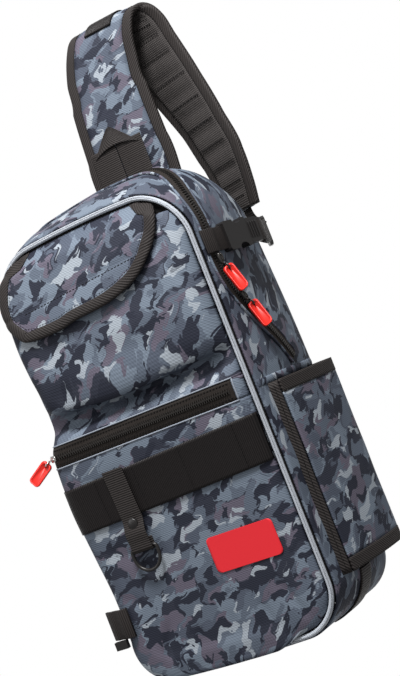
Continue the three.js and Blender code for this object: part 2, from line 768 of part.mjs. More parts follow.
// The snap's cap on the tab's face, tipped as the tab is there
function buildSnap(tabY, lean) {
  const profile = [
    new THREE.Vector2(0, 0),
    new THREE.Vector2(snapCap.radius, 0),
    new THREE.Vector2(snapCap.radius, snapCap.thickness * 0.55),
    new THREE.Vector2(snapCap.radius * 0.7, snapCap.thickness),
    new THREE.Vector2(0, snapCap.thickness),
  ];
  const mesh = addPiece('snap_cap', new THREE.LatheGeometry(profile, 12), colours.metal, 0.4, 0.8);
  mesh.position.set(hangTab.middle, tabY - (webbing.thickness / 2 + 2 * clearance) / Math.cos(lean), snapHeight);
  mesh.rotation.x = Math.PI - lean;
}

function buildRing() {
  const path = [];
  for (const x of span(-ring.halfWidth + 1.5, ring.halfWidth - 1.5, 2)) path.push(vec(x, 0, 0));
  for (let i = 0; i <= 10; i++) {
    const angle = (i * Math.PI) / 10;
    path.push(vec(ring.halfWidth * Math.cos(angle), 0, -ring.shank - ring.halfWidth * Math.sin(angle)));
  }
  path.splice(3, 0, vec(ring.halfWidth, 0, -1.5));
  path.push(vec(-ring.halfWidth, 0, -1.5));
  const mesh = addPiece('d_ring', wire(path, ring.wire, 6, true), colours.plastic, 0.5);
  mesh.position.copy(barCentre);
}

// Strips that lie on the gusset: a path in distance round the outline and place across, both in mm
function gussetStrip(name, path, width, near, thickness, colour, roughness = 0.9) {
  const columns = Math.ceil(width / 7) + 1;
  const place = (layer) => (i, j) => {
    const before = path[Math.max(i - 1, 0)];
    const after = path[Math.min(i + 1, path.length - 1)];
    const length = Math.hypot(after.s - before.s, after.y - before.y);
    const shift = (j / (columns - 1) - 0.5) * width;
    const s = path[i].s - (shift * (after.y - before.y)) / length;
    const y = path[i].y + (shift * (after.s - before.s)) / length;
    return alongGusset(s, THREE.MathUtils.clamp(y, -gussetHalf, gussetHalf), layer);
  };
  const geometry = sheetSolid(path.length, columns, place(near + thickness), place(near));
  return addPiece(name, geometry, colour, roughness);
}

// The main zipper: tape, coil, two sliders with their pulls
const mainZip = { tape: 20, tapeThickness: 1.2, coil: 7, coilThickness: 2.2, steps: 56, lift: 1.3 };
const zipCurve = new THREE.CatmullRomCurve3(
  mainZipRoute.map((row) => vec(row.along * bag.height, row.back * gussetHalf, 0)),
);
const zipPath = span(0, 1, mainZip.steps).map((share) => {
  const point = zipCurve.getPoint(share);
  return { s: point.x, y: point.y };
});

function zipPlaceAt(height) {
  const distance = sideDistance(height);
  const after = zipPath.findIndex((point) => point.s >= distance);
  const share = (distance - zipPath[after - 1].s) / (zipPath[after].s - zipPath[after - 1].s);
  return { s: distance, y: THREE.MathUtils.lerp(zipPath[after - 1].y, zipPath[after].y, share) };
}

function buildMainZipper() {
  gussetStrip('main_zip_tape', zipPath, mainZip.tape, mainZip.lift, mainZip.tapeThickness, colours.binding);
  const coilNear = mainZip.lift + clearance + mainZip.tapeThickness;
  const coilPath = zipPath.slice(1, -1);
  gussetStrip('main_zip_coil', coilPath, mainZip.coil, coilNear, mainZip.coilThickness, colours.plastic, 0.5);
}

// A ring bends inside the pull's hole, which is that much longer
const eyeSlack = 1.6;

// A rubber pull with a hole near its top; its width lies along X, its length hangs down -Z
function pullGeometry() {
  const half = pull.width / 2;
  const edge = pull.width * 0.3;
  const outline = [
    [-half + edge, 0], [half - edge, 0], [half, -edge], [half, -pull.length + edge],
    [half - edge, -pull.length], [-half + edge, -pull.length], [-half, -pull.length + edge], [-half, -edge],
  ];
  const shape = new THREE.Shape(outline.map(([x, y]) => new THREE.Vector2(x, y)));
  const eye = loopRing.wire + clearance;
  const low = -pull.rim - 2 * eye - eyeSlack;
  const hole = [[-eye, low], [eye, low], [eye, -pull.rim], [-eye, -pull.rim]];
  shape.holes.push(new THREE.Path(hole.map(([x, y]) => new THREE.Vector2(x, y))));
  const geometry = new THREE.ExtrudeGeometry(shape, { depth: pull.thickness, bevelEnabled: false });
  geometry.translate(0, 0, -pull.thickness / 2);
  geometry.rotateX(Math.PI / 2);
  return geometry;
}

// A slider on a coil with its ring and pull: seat is the slider's middle, out points off the cloth,
// along is the zipper's direction, hang is the pull's, and face is what its flat side looks at
function addSlider(name, seat, out, along, hang, face) {
  const place = new THREE.Matrix4();
  const across = new THREE.Vector3().crossVectors(along, out).normalize();
  const lengthways = new THREE.Vector3().crossVectors(out, across).normalize();
  const body = addPiece(`${name}_slider`, new THREE.BoxGeometry(slider.width, slider.length, slider.thickness),
    colours.metal, 0.4, 0.9);
  place.makeBasis(across, lengthways, out);
  body.quaternion.setFromRotationMatrix(place);
  body.position.copy(seat).addScaledVector(out, slider.thickness / 2);
  const down = hang.clone().normalize();
  const flat = face.clone().addScaledVector(down, -face.dot(down)).normalize();
  const wide = new THREE.Vector3().crossVectors(down, flat).normalize();
  const eyeDepth = pull.rim + loopRing.wire + clearance + eyeSlack;
  const ringCentre = seat.clone()
    .addScaledVector(out, slider.thickness - 1)
    .addScaledVector(lengthways, Math.sign(lengthways.dot(down)) * (slider.length / 2))
    .addScaledVector(down, loopRing.radius + loopRing.wire + 2 * clearance);
  const loop = addPiece(`${name}_ring`,
    new THREE.TorusGeometry(loopRing.radius, loopRing.wire, 5, 9), colours.metal, 0.35, 0.9);
  place.makeBasis(down, flat, wide);
  loop.quaternion.setFromRotationMatrix(place);
  loop.position.copy(ringCentre);
  const tag = addPiece(`${name}_pull`, pullGeometry(), colours.red, 0.45);
  place.makeBasis(wide, flat, down.clone().negate());
  tag.quaternion.setFromRotationMatrix(place);
  tag.position.copy(ringCentre).addScaledVector(down, loopRing.radius - eyeDepth);
}

const pullHeights = [{ name: 'main_upper', height: 386 }, { name: 'main_lower', height: 343 }];

function buildSliders() {
  const layer = mainZip.lift + 4 * clearance + mainZip.tapeThickness + mainZip.coilThickness;
  for (const { name, height } of pullHeights) {
    const here = zipPlaceAt(height);
    const below = zipPlaceAt(height - 4);
    const seat = alongGusset(here.s, here.y, layer);
    const out = alongGusset(here.s, here.y, layer + 1).sub(seat).normalize();
    const along = alongGusset(below.s, below.y, layer).sub(seat).normalize();
    addSlider(name, seat, out, along, vec(0.2, 0.3, -1), vec(0.75, -0.65, 0));
  }
  const end = -halfWidthAt(zipperLine.height, pocketInset) + slider.length / 2;
  const seat = onFront(end, zipperLine.height, 0);
  addSlider('pocket', seat, vec(-0.55, -0.83, 0).normalize(), vec(0.83, -0.55, 0), vec(-0.83, -0.1, -0.5),
    vec(0.47, -0.85, 0.2));
}

// Side of the bag

function sideX(y) {
  const backShare = y / gussetHalf;
  const crowned = crown({ x: bag.width / 2, nx: 1, nz: 0 }, backShare);
  return bag.width / 2 + crowned + (bag.flare * (backShare + 1)) / 2;
}

function buildSeamBand() {
  const s = sideDistance(seamBand.height);
  const path = span(-gussetHalf + 1, gussetHalf - 1, 8).map((y) => ({ s, y }));
  gussetStrip('seam_band', path, seamBand.width, clearance, seamBand.thickness, colours.camo);
}

function uprightRibbon(name, places, low, high, thickness, colour) {
  const stops = places.map(([x, y]) => ({
    point: vec(x, y, (low + high) / 2), side: vec(0, 0, 1), width: high - low, thickness,
  }));
  addPiece(name, ribbon(stops), colour);
}

function buildSidePocket() {
  const { front, back, low, high, binding, bindingThickness, corner, floorLift } = sidePocket;
  const frontX = bag.width / 2 + sidePocket.frontOut;
  const backX = bag.width / 2 + sidePocket.backOut;
  const wallStart = front + bindingThickness;
  const wallSteps = 5;
  const wall = [[frontX, wallStart]];
  for (const share of span(0, 1, wallSteps).slice(1)) {
    const y = THREE.MathUtils.lerp(wallStart, back - corner, share);
    wall.push([THREE.MathUtils.lerp(frontX, backX, Math.sin((share * Math.PI) / 2)), y]);
  }
  wall.push([backX - corner * 0.4, back - corner * 0.2], [backX - corner, back]);
  wall.push([sideX(back) + cloth / 2 + clearance, back]);
  uprightRibbon('side_pocket', wall, low + binding, high - binding, cloth, colours.camo);
  uprightRibbon('side_pocket_top', wall, high - binding + clearance, high, bindingThickness, colours.binding);
  uprightRibbon('side_pocket_low', wall, low, low + binding - clearance, bindingThickness, colours.binding);
  const strip = [
    [sideX(front) + 2 * clearance, front - 1],
    [frontX - cloth / 2, wallStart - cloth / 2 - 2 * clearance],
  ];
  uprightRibbon('side_pocket_front', strip, low, high - clearance, cloth, colours.binding);
  const floorFront = wallStart + cloth;
  const floorBack = back - bindingThickness;
  const beside = (y) => [sideX(y) + 3 * clearance, y];
  const floor = [
    beside(floorFront),
    ...wall.slice(0, wallSteps + 1).map(([x, y]) => (
      [x - bindingThickness, THREE.MathUtils.clamp(y, floorFront, floorBack)]
    )),
    ...span(floorBack, floorFront, 6).slice(0, -1).map(beside),
  ];
  const shape = new THREE.Shape(floor.map(([x, y]) => new THREE.Vector2(x, y)));
  const geometry = new THREE.ExtrudeGeometry(shape, { depth: cloth, bevelEnabled: false });
  geometry.translate(0, 0, low + floorLift);
  addPiece('side_pocket_floor', geometry, colours.camo);
}

// The tab, the fastened buckle and the webbing behind it, at one height on the right side
const buckleRun = { x: bag.width / 2 + 12, tilt: 0.2 };

function onBuckleLine(y, out = 0) {
  return vec(buckleRun.x + buckleRun.tilt * (y - sideTab.buckleStart) + out, y, sideTab.height);
}

function flatWebbing(name, places, width, colour = colours.webbing) {
  const stops = places.map((point) => ({ point, side: vec(0, 0, 1), width, thickness: webbing.thickness }));
  addPiece(name, ribbon(stops), colour);
}

function buildSideTab() {
  const start = sideTab.buckleStart;
  const seamX = bag.width / 2 + mainZip.lift + mainZip.tapeThickness + webbing.thickness / 2 + 2 * clearance;
  flatWebbing('side_tab', [
    vec(seamX, -gussetHalf + 1, sideTab.height),
    vec(seamX + mainZip.coilThickness + 1, -gussetHalf + 6, sideTab.height),
    vec(buckleRun.x - 1.5, -gussetHalf + 14, sideTab.height),
    onBuckleLine(start - 12),
    onBuckleLine(start + buckle.seat),
  ], webbing.width);
}

// The socket has a rounded notch in each edge; the plug's arms lie inside it
function buildBuckle() {
  const { width, thickness, socket, length } = buckle;
  const half = width / 2;
  const notch = { centre: socket * 0.62, radius: 8, depth: 5 };
  const edge = (sign) => {
    const points = [];
    for (let i = 0; i <= 6; i++) {
      const angle = (i * Math.PI) / 6;
      points.push([
        notch.centre - notch.radius * Math.cos(angle),
        sign * (half - notch.depth * Math.sin(angle)),
      ]);
    }
    return points;
  };
  const outline = [
    [0, half - 2], [2, half], ...edge(1), [socket, half], [socket, -half],
    ...edge(-1).reverse(), [2, -half], [0, -half + 2],
  ];
  const shape = new THREE.Shape(outline.map(([y, z]) => new THREE.Vector2(y, z)));
  const block = new THREE.ExtrudeGeometry(shape, { depth: thickness, bevelEnabled: false });
  block.translate(0, 0, -thickness / 2);
  block.rotateX(Math.PI / 2);
  block.rotateZ(Math.PI / 2);
  const grip = webbing.width / 2 + clearance;
  const slot = webbing.thickness / 2 + clearance;
  const inside = thickness / 2 - 2;
  const shell = cut(
    block,
    box(vec(-inside, 8, -half + notch.depth + 2), vec(inside, socket + 1, half - notch.depth - 2)),
    box(vec(-slot, -1, -grip), vec(slot, 5, grip)),
  );
  const frame = new THREE.Group();
  frame.position.copy(onBuckleLine(sideTab.buckleStart));
  frame.rotation.z = -Math.atan(buckleRun.tilt);
  bagBody.add(frame);
  const socketMesh = addPiece('buckle_socket', shell, colours.plastic, 0.5);
  frame.add(socketMesh);
  const arm = inside - clearance;
  const armReach = half - notch.depth - 2 - clearance;
  const plugBlock = box(
    vec(-thickness / 2, socket + clearance, -half + 2),
    vec(thickness / 2, length, half - 2),
  );
  const plug = cut(
    join(
      plugBlock,
      box(vec(-arm, 12, armReach - 4), vec(arm, socket + 1, armReach)),
      box(vec(-arm, 12, -armReach), vec(arm, socket + 1, -armReach + 4)),
      box(vec(-arm, 16, -2), vec(arm, socket + 1, 2)),
    ),
    box(vec(-slot, length - 5, -grip), vec(slot, length + 1, grip)),
  );
  frame.add(addPiece('buckle_plug', plug, colours.plastic, 0.5));
}

const lock = { x: bag.width / 2 + 3, y: 103, height: 407, turn: 28, length: 26, width: 34, thickness: 4, bar: 4 };

// Just off one end of the lock, where its webbing ends
function lockEnd(sign) {
  const angle = (lock.turn * Math.PI) / 180;
  const reach = sign * (lock.length / 2 + 3 * clearance);
  return vec(lock.x - reach * Math.sin(angle), lock.y + reach * Math.cos(angle), lock.height);
}

function buildLadderLock() {
  const half = lock.width / 2;
  const opening = webbing.width / 2 + 0.6;
  const slotLength = (lock.length - 3 * lock.bar) / 2;
  const shape = new THREE.Shape();
  shape.moveTo(-half + 3, 0);
  for (const [x, y] of [[half - 3, 0], [half, 6], [half, lock.length - 6], [half - 3, lock.length],
    [-half + 3, lock.length], [-half, lock.length - 6], [-half, 6]]) shape.lineTo(x, y);
  for (const start of [lock.bar, 2 * lock.bar + slotLength]) {
    const end = start + slotLength;
    const corners = [[-opening, start], [opening, start], [opening, end], [-opening, end]];
    shape.holes.push(new THREE.Path(corners.map(([x, y]) => new THREE.Vector2(x, y))));
  }
  const geometry = new THREE.ExtrudeGeometry(shape, { depth: lock.thickness, bevelEnabled: false });
  geometry.translate(0, -lock.length / 2, -lock.thickness / 2);
  geometry.rotateY(Math.PI / 2);
  const mesh = addPiece('ladder_lock', geometry, colours.plastic, 0.5);
  mesh.position.set(lock.x, lock.y, lock.height);
  mesh.rotation.z = (lock.turn * Math.PI) / 180;
}

// How the webbing bows out between the buckle and the lock: share of the way, out and up in mm
const lockBow = [
  { share: 0.55, out: 3, up: -3 },
  { share: 0.8, out: 6, up: -1.5 },
  { share: 0.92, out: 8, up: -0.3 },
];

function buildLockWebbing() {
  const end = sideTab.buckleStart + buckle.length;
  flatWebbing('lock_webbing', [
    onBuckleLine(end - buckle.seat),
    onBuckleLine(end + buckle.seat * 3),
    ...lockBow.map(({ share, out, up }) => (
      onBuckleLine(end, out).lerp(lockEnd(-1), share).add(vec((1 - share) * out, 0, up))
    )),
    lockEnd(-1),
  ], webbing.width);
}

// Webbing from under the side pocket round the bottom corner
const cornerWeb = { length: 62, middle: -6 };

function buildCornerWeb() {
  const from = sideDistance(sidePocket.low - 3);
  const path = span(from, from + cornerWeb.length, 8).map((s) => ({ s, y: cornerWeb.middle }));
  gussetStrip('corner_web', path, webbing.width, clearance, webbing.thickness, colours.webbing);
}

// Folded webbing at the lower left corner, with the plastic end below it
const cornerTab = { height: 68, width: 32, thickness: 3.4, out: 15 };
const cornerBuckle = { length: 15, tall: 9, thickness: 5 };

function buildCornerTab() {
  const seat = onFront(-bag.width / 2 + 16, cornerTab.height, clearance + cornerTab.thickness / 2);
  const seam = bag.width / 2;
  const front = -bag.depth / 2 - cornerTab.thickness;
  const stops = [
    seat,
    vec(-seam + 8, Math.min(front, seat.y) - 1, cornerTab.height),
    vec(-seam - 2, front - 2.5, cornerTab.height),
    vec(-seam - cornerTab.out * 0.55, front - 1, cornerTab.height),
    vec(-seam - cornerTab.out, front + 3, cornerTab.height),
  ].map((point) => ({ point, side: vec(0, 0, 1), width: cornerTab.width, thickness: cornerTab.thickness }));
  addPiece('corner_tab', ribbon(stops), colours.webbing);
  const top = cornerTab.height - cornerTab.width / 2 - clearance;
  const backFace = onFront(-seam + 2 * pocketInset, top, 3 * clearance).y;
  const size = cornerBuckle;
  const from = vec(-seam + 3 - size.length, backFace - size.thickness, top - size.tall);
  addPiece('corner_buckle', box(from, vec(-seam + 3, backFace, top)), colours.plastic, 0.5);
}

// The sling strap

const strapSteps = 40;
const crest = { share: 0.46, gathering: 0.2, keeperFrom: 0.36, keeperTo: 0.6 };

// Shares along the strap's line that gather at its crest, where it turns most
function crestShare(even) {
  const round = 2 * Math.PI;
  const wave = Math.sin(round * (even - crest.share)) + Math.sin(round * crest.share);
  return even - (crest.gathering / round) * wave;
}

function strapStops() {
  const toPoint = (row) => vec(row.across * bag.width, row.back * bag.depth, strap.base + row.up * strap.loop);
  const line = new THREE.CatmullRomCurve3(strapRoute.map(toPoint), false, 'centripetal');
  const turns = new THREE.CatmullRomCurve3(strapRoute.map((row) => vec(row.turn, row.width, 0)));
  return span(0, 1, strapSteps).map(crestShare).map((share) => {
    const extra = turns.getPoint(share);
    const angle = (extra.x * Math.PI) / 180;
    return {
      share,
      point: line.getPoint(share),
      tangent: line.getTangent(share),
      side: vec(Math.cos(angle), Math.sin(angle), 0),
      half: (extra.y * strap.width) / 2,
    };
  });
}

// A layer along the strap: from one place of its width to another, between two distances off its middle;
// the places are worked out from the half width there
function strapLayer(name, stops, from, to, low, high, columns, colour) {
  const place = (layer) => (i, j) => {
    const stop = stops[i];
    const normal = new THREE.Vector3().crossVectors(stop.side, stop.tangent).normalize();
    const across = THREE.MathUtils.lerp(from(stop.half), to(stop.half), j / (columns - 1));
    return stop.point.clone().addScaledVector(stop.side, across).addScaledVector(normal, layer);
  };
  return addPiece(name, sheetSolid(stops.length, columns, place(high), place(low)), colour);
}

function buildStrap() {
  const stops = strapStops();
  const half = strap.thickness / 2;
  const lining = 3;
  const inner = (h) => h - strap.binding;
  const flatBinding = half - 1;
  const bindingGap = 5 * clearance;
  strapLayer('strap_pad', stops, (h) => -inner(h), inner, -half + lining, half, 4, colours.camo);
  strapLayer('strap_lining', stops, (h) => -inner(h), inner, -half, -half + lining - clearance, 4, colours.mesh);
  strapLayer('strap_binding_left', stops, (h) => -h, (h) => -inner(h) - bindingGap, -flatBinding, flatBinding, 2,
    colours.binding);
  strapLayer('strap_binding_right', stops, (h) => inner(h) + bindingGap, (h) => h, -flatBinding, flatBinding, 2,
    colours.binding);
  const top = stops.filter((stop) => stop.share >= crest.keeperFrom && stop.share <= crest.keeperTo);
  const keeperLow = half + clearance;
  strapLayer('strap_keeper', top, () => -keeper.width / 2, () => keeper.width / 2, keeperLow,
    keeperLow + keeper.thickness, 3, colours.webbing);
  buildStrapTail(stops[stops.length - 1]);
}

// Webbing from the strap's end to the ladder lock, turning from flat to upright on its way
function buildStrapTail(end) {
  const away = lockEnd(1).sub(lockEnd(-1)).normalize();
  const goal = lockEnd(1).addScaledVector(away, 6 * clearance);
  const from = end.point.clone().addScaledVector(end.tangent, 3 * clearance);
  const curve = new THREE.CubicBezierCurve3(
    from,
    from.clone().addScaledVector(end.tangent, 16),
    goal.clone().addScaledVector(away, 16),
    goal,
  );
  const stops = span(0, 1, 6).map((share) => ({
    point: curve.getPoint(share),
    side: end.side.clone().lerp(vec(0, 0, 1), THREE.MathUtils.smoothstep(share, 0.1, 0.8)),
    width: webbing.width,
    thickness: webbing.thickness,
  }));
  addPiece('strap_tail', ribbon(stops), colours.webbing);
}

// Two legs of webbing side by side with a folded tip, in front of the strap's foot
function buildHangLoop() {
  const offset = (hangLoop.legWidth + hangLoop.gap) / 2;
  for (const { name, sign } of [{ name: 'left', sign: -1 }, { name: 'right', sign: 1 }]) {
    const x = sign * offset;
    const stops = [
      vec(x, bag.depth / 2 + hangLoop.thickness / 2 + clearance, hangLoop.bottom),
      vec(x, hangLoop.front - 1, hangLoop.bottom + 28),
      vec(x, hangLoop.front, (hangLoop.bottom + hangLoop.top) / 2 + 8),
      vec(x, hangLoop.front + 1, hangLoop.top),
    ].map((point) => ({
      point, side: vec(1, 0, 0), width: hangLoop.legWidth, thickness: hangLoop.thickness,
    }));
    addPiece(`hang_loop_${name}`, ribbon(stops), colours.webbing);
  }
  const reach = offset + hangLoop.legWidth / 2 - 6;
  const low = hangLoop.top - 3;
  const shape = new THREE.Shape([
    [-reach, low], [0, low + 8], [reach, low], [reach * 0.75, low + 6], [reach * 0.2, hangLoop.tip],
    [-reach * 0.2, hangLoop.tip], [-reach * 0.75, low + 6],
  ].map(([x, z]) => new THREE.Vector2(x, z)));
  const geometry = new THREE.ExtrudeGeometry(shape, { depth: hangLoop.thickness, bevelEnabled: false });
  geometry.rotateX(Math.PI / 2);
  geometry.translate(0, hangLoop.front - hangLoop.thickness / 2 + 1 - clearance, 0);
  addPiece('hang_loop_tip', geometry, colours.webbing);
}

buildGusset();
buildFrontPanel();
buildBackPanel();
buildPiping('front_piping', -1);
buildPiping('back_piping', 1);
buildPockets();
buildPocketZipper();
buildBand();
buildLabel();
buildFlap();
buildFlapBinding();
buildHangTab();
buildRing();
buildMainZipper();
buildSliders();
buildSeamBand();
buildSidePocket();
buildSideTab();
buildBuckle();
buildLadderLock();
buildLockWebbing();
buildCornerWeb();
buildCornerTab();
buildStrap();
buildHangLoop();

bagBody.position.copy(hangPoint).negate();
const part = new THREE.Group();
part.add(bagBody);

export default part;
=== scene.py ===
# Fishing tackle sling bag: soft pieces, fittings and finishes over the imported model, and the photo's camera.
# The form functions work in millimetres in the bag's own coordinates: Z up from the base, -Y out of the
# front, X towards the side pocket. row() turns them into the frame's metres.
import math

import bpy
from mathutils import Matrix, Vector, noise


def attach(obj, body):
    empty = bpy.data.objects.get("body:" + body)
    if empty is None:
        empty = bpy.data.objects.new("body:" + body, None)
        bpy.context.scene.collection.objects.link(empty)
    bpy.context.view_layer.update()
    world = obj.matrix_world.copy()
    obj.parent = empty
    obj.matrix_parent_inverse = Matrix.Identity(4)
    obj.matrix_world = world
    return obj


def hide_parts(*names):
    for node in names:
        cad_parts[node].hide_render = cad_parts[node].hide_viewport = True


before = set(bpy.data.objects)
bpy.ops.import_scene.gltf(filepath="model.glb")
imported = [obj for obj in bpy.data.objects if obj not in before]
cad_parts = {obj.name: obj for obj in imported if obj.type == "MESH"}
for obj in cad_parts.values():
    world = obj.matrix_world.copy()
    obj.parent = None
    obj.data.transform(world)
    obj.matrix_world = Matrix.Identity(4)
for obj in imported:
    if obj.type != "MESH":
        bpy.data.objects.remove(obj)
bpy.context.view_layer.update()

HANG_POINT = Vector((31, 119, 699))
MM = 0.001

# The bag's body
WIDTH = 244
HEIGHT = 474
DEPTH = 150
TOP_RADIUS = 55
BOTTOM_RADIUS = 46
TOP_RISE = 7
BACK_RISE = 12
TOP_CROWN = 20
LEFT_FLAT = 0.4
SIDE_CROWN = 6
BOTTOM_SAG = 4.5
SWAY = 12
SWAY_FADE = 0.7
FLARE = 8
CLOTH = 2
CLEARANCE = 0.3
PIPING_RADIUS = 2.6
BACK_PAD = 12
POCKET_DEPTH = 18

SEAM_STACK = CLEARANCE + CLOTH + CLEARANCE + 2 * PIPING_RADIUS
GUSSET_HALF = DEPTH / 2 - SEAM_STACK
POCKET_INSET = 2 * PIPING_RADIUS + 3 * CLEARANCE
FRONT_BASE = GUSSET_HALF + CLEARANCE + CLOTH
POCKET_HALF = WIDTH / 2 - POCKET_INSET

# What is sewn on the front
ZIP_HEIGHT = 258
ZIP_TAPE = 22
ZIP_END = 106
TAPE_THICKNESS = 1.2
TAPE_SUNK = -1.6
BAND_HEIGHT = 200
BAND_WIDTH = 50
BAND_TILT = 9
BAND_THICKNESS = 2
BAND_SEAMS = (-78, -32, 25, 91)
LABEL_CENTRE = 52
LABEL_HEIGHT = 107
LABEL_WIDTH = 78
LABEL_TALL = 38
LABEL_RADIUS = 5
LABEL_THICKNESS = 0.8
FLAP_MIDDLE = -10
FLAP_HALF = 105
FLAP_BOTTOM = 380
FLAP_TOP = 467
FLAP_TUCK = 18
FLAP_BINDING = 12
FLAP_LAYER = CLOTH + 3 * CLEARANCE
FLAP_SEAM = 415
FLAP_SEAM_SLOPE = 0.06

WEBBING = 25
WEBBING_THICKNESS = 1.8
HANG_TAB_X = -55
RING_HEIGHT = 139
RING_WIRE = 1.9
RING_HALF = 15.6
RING_SHANK = 9

# How far the front stands out: shares of the bag's height and of the pocket depth
FRONT_SECTIONS = [
    (0.0, 0.15), (0.04, 0.4), (0.13, 0.5), (0.26, 0.6), (0.42, 0.82), (0.52, 1.0), (0.568, 0.95),
    (0.6, 0.45), (0.628, 0.3), (0.65, 0.85), (0.68, 1.25), (0.73, 1.35), (0.81, 1.2), (0.9, 0.8),
    (0.97, 0.35), (1.0, 0.1),
]

# How far the left side is drawn in: shares of the bag's height and of its sway
LEFT_SWAY = [
    (0.0, 0.08), (0.095, 0.38), (0.2, 0.46), (0.3, 0.04), (0.4, -0.38), (0.455, -0.42), (0.517, -0.29),
    (0.555, -0.08), (0.58, 0.5), (0.6, 0.92), (0.643, 1.0), (0.686, 1.12), (0.73, 0.88), (0.79, 0.6),
    (0.855, 0.5), (0.905, 0.25), (0.95, 0.0),
]

# How far the right side's back edge stands out: shares of the bag's height and of its flare
RIGHT_FLARE = [(0.0, 1.3), (0.1, 1.0), (0.58, 1.0), (0.82, 0.4), (0.9, 0.0)]

# The flap's edge: height as a share of the flap's, its two ends as shares of its half width
FLAP_ROWS = [
    (0.0, -0.69, -0.33), (0.03, -0.81, -0.19), (0.07, -0.85, 0.27), (0.18, -0.92, 0.59), (0.29, -0.97, 0.73),
    (0.45, -0.977, 0.86), (0.62, -0.95, 0.96), (0.82, -0.886, 1.0), (0.93, -0.82, 0.96), (1.0, -0.63, 0.84),
]

# The strap's middle line: shares of the bag's width and depth and of the loop's height over the strap's
# base, the turn of its width in degrees, and the share of its full width
STRAP_WIDTH = 100
STRAP_THICKNESS = 9
STRAP_BINDING = 14
STRAP_LOOP = 264
STRAP_BASE = 440
STRAP_ROUTE = [
    (0.016, 0.572, 0.0, 3, 1.03), (0.016, 0.635, 0.2, 8, 1.03), (0.02, 0.65, 0.45, 10, 1.02),
    (0.027, 0.66, 0.68, 10, 0.97), (0.041, 0.675, 0.815, 8, 0.93), (0.07, 0.7, 0.925, 5, 0.9),
    (0.1, 0.745, 0.988, 3, 0.91), (0.131, 0.793, 1.003, 2, 0.94), (0.164, 0.84, 0.986, -2, 0.95),
    (0.197, 0.885, 0.93, -7, 0.95), (0.23, 0.913, 0.833, -15, 0.93), (0.301, 0.9, 0.625, -24, 0.91),
    (0.37, 0.855, 0.42, -29, 0.84), (0.415, 0.807, 0.24, -30, 0.78), (0.428, 0.783, 0.09, -30, 0.67),
    (0.43, 0.77, 0.0, -30, 0.58),
]

# The main zipper on the gusset: distance from the top's middle as a share of the bag's height, and place
# across as a share of the gusset's half depth
MAIN_ZIP_ROUTE = [
    (-0.5, 0.1), (-0.32, 0.0), (-0.14, 0.05), (0.0, 0.1), (0.1, 0.02), (0.18, -0.32), (0.25, -0.68),
    (0.33, -0.78), (0.4, -0.8), (0.455, -0.7), (0.52, -0.4), (0.59, 0.02), (0.645, 0.3),
]


# Small helpers

def row(point):
    return (Vector(point) - HANG_POINT) * MM


def clamp(value, low=0.0, high=1.0):
    return max(low, min(high, value))


def mix(a, b, share):
    return a + (b - a) * share


def span(low, high, steps):
    return [low + (high - low) * i / steps for i in range(steps + 1)]


def smoothstep(value):
    value = clamp(value)
    return value * value * (3 - 2 * value)


def hump(value, width):
    return math.exp(-((value / width) ** 2))


def table_value(table, key, column=1):
    """A smooth line through a table's rows, read at a key in the first column."""
    if key <= table[0][0]:
        return table[0][column]
    for i in range(1, len(table)):
        if key <= table[i][0]:
            k0, k1 = table[i - 1][0], table[i][0]
            v0, v1 = table[i - 1][column], table[i][column]
            slope = (v1 - v0) / (k1 - k0)
            before = (v1 - table[i - 2][column]) / (k1 - table[i - 2][0]) if i > 1 else slope
            after = (table[i + 1][column] - v0) / (table[i + 1][0] - k0) if i + 1 < len(table) else slope
            t = (key - k0) / (k1 - k0)
            bends = (t**3 - 2 * t**2 + t) * before + (t**3 - t**2) * after
            return (2 * t**3 - 3 * t**2 + 1) * v0 + (3 * t**2 - 2 * t**3) * v1 + bends * (k1 - k0)
    return table[-1][column]


def curve_point(points, share):
    """A point of the centripetal line through the points, for a share from 0 to 1."""
    place = share * (len(points) - 1)
    i = min(int(place), len(points) - 2)
    w = place - i
    p1, p2 = points[i], points[i + 1]
    p0 = points[i - 1] if i > 0 else p1 * 2 - p2
    p3 = points[i + 2] if i + 2 < len(points) else p2 * 2 - p1
    d1 = max((p2 - p1).length ** 0.5, 1e-4)
    d0 = max((p1 - p0).length ** 0.5, 1e-4)
    d2 = max((p3 - p2).length ** 0.5, 1e-4)
    t1 = ((p1 - p0) / d0 - (p2 - p0) / (d0 + d1) + (p2 - p1) / d1) * d1
    t2 = ((p2 - p1) / d1 - (p3 - p1) / (d1 + d2) + (p3 - p2) / d2) * d1
    return p1 + t1 * w + (p2 * 3 - p1 * 3 - t1 * 2 - t2) * w**2 + (p1 * 2 - p2 * 2 + t1 + t2) * w**3


def path_lengths(points):
    lengths = [0.0]
    for a, b in zip(points, points[1:]):
        lengths.append(lengths[-1] + (b - a).length)
    return lengths


def marks(points, first, pitch):
    """Places at equal steps along a path, each with its segment's number and direction."""
    travelled, target = 0.0, first
    for i, (a, b) in enumerate(zip(points, points[1:])):
        step = (b - a).length
        while target <= travelled + step:
            yield i, a.lerp(b, (target - travelled) / step), (b - a).normalized()
            target += pitch
        travelled += step


def square_to(vector, axis):
    """The part of a vector that is square to an axis, at unit length."""
    return (vector - axis * vector.dot(axis)).normalized()


def full_turn(steps):
    return [2 * math.pi * k / steps for k in range(steps)]


# The bag's outline and surfaces, as in the part

def warp(x, z, depth_share):
    """Bends the plain outline: the top rises, the bottom sags, the left side sways, the right side flares."""
    upper = clamp((z - HEIGHT + TOP_RADIUS) / TOP_RADIUS)
    lower = clamp((BOTTOM_RADIUS - z) / BOTTOM_RADIUS)
    across = x / (WIDTH / 2)
    rise = TOP_RISE * (1 - across**2) + BACK_RISE * depth_share
    sag = BOTTOM_SAG * (1 - across**2)
    sway = table_value(LEFT_SWAY, z / HEIGHT) * SWAY * (1 - SWAY_FADE * depth_share)
    flare = table_value(RIGHT_FLARE, z / HEIGHT) * FLARE * depth_share
    return x + sway * max(-across, 0) + flare * max(across, 0), z + upper * rise - lower * sag


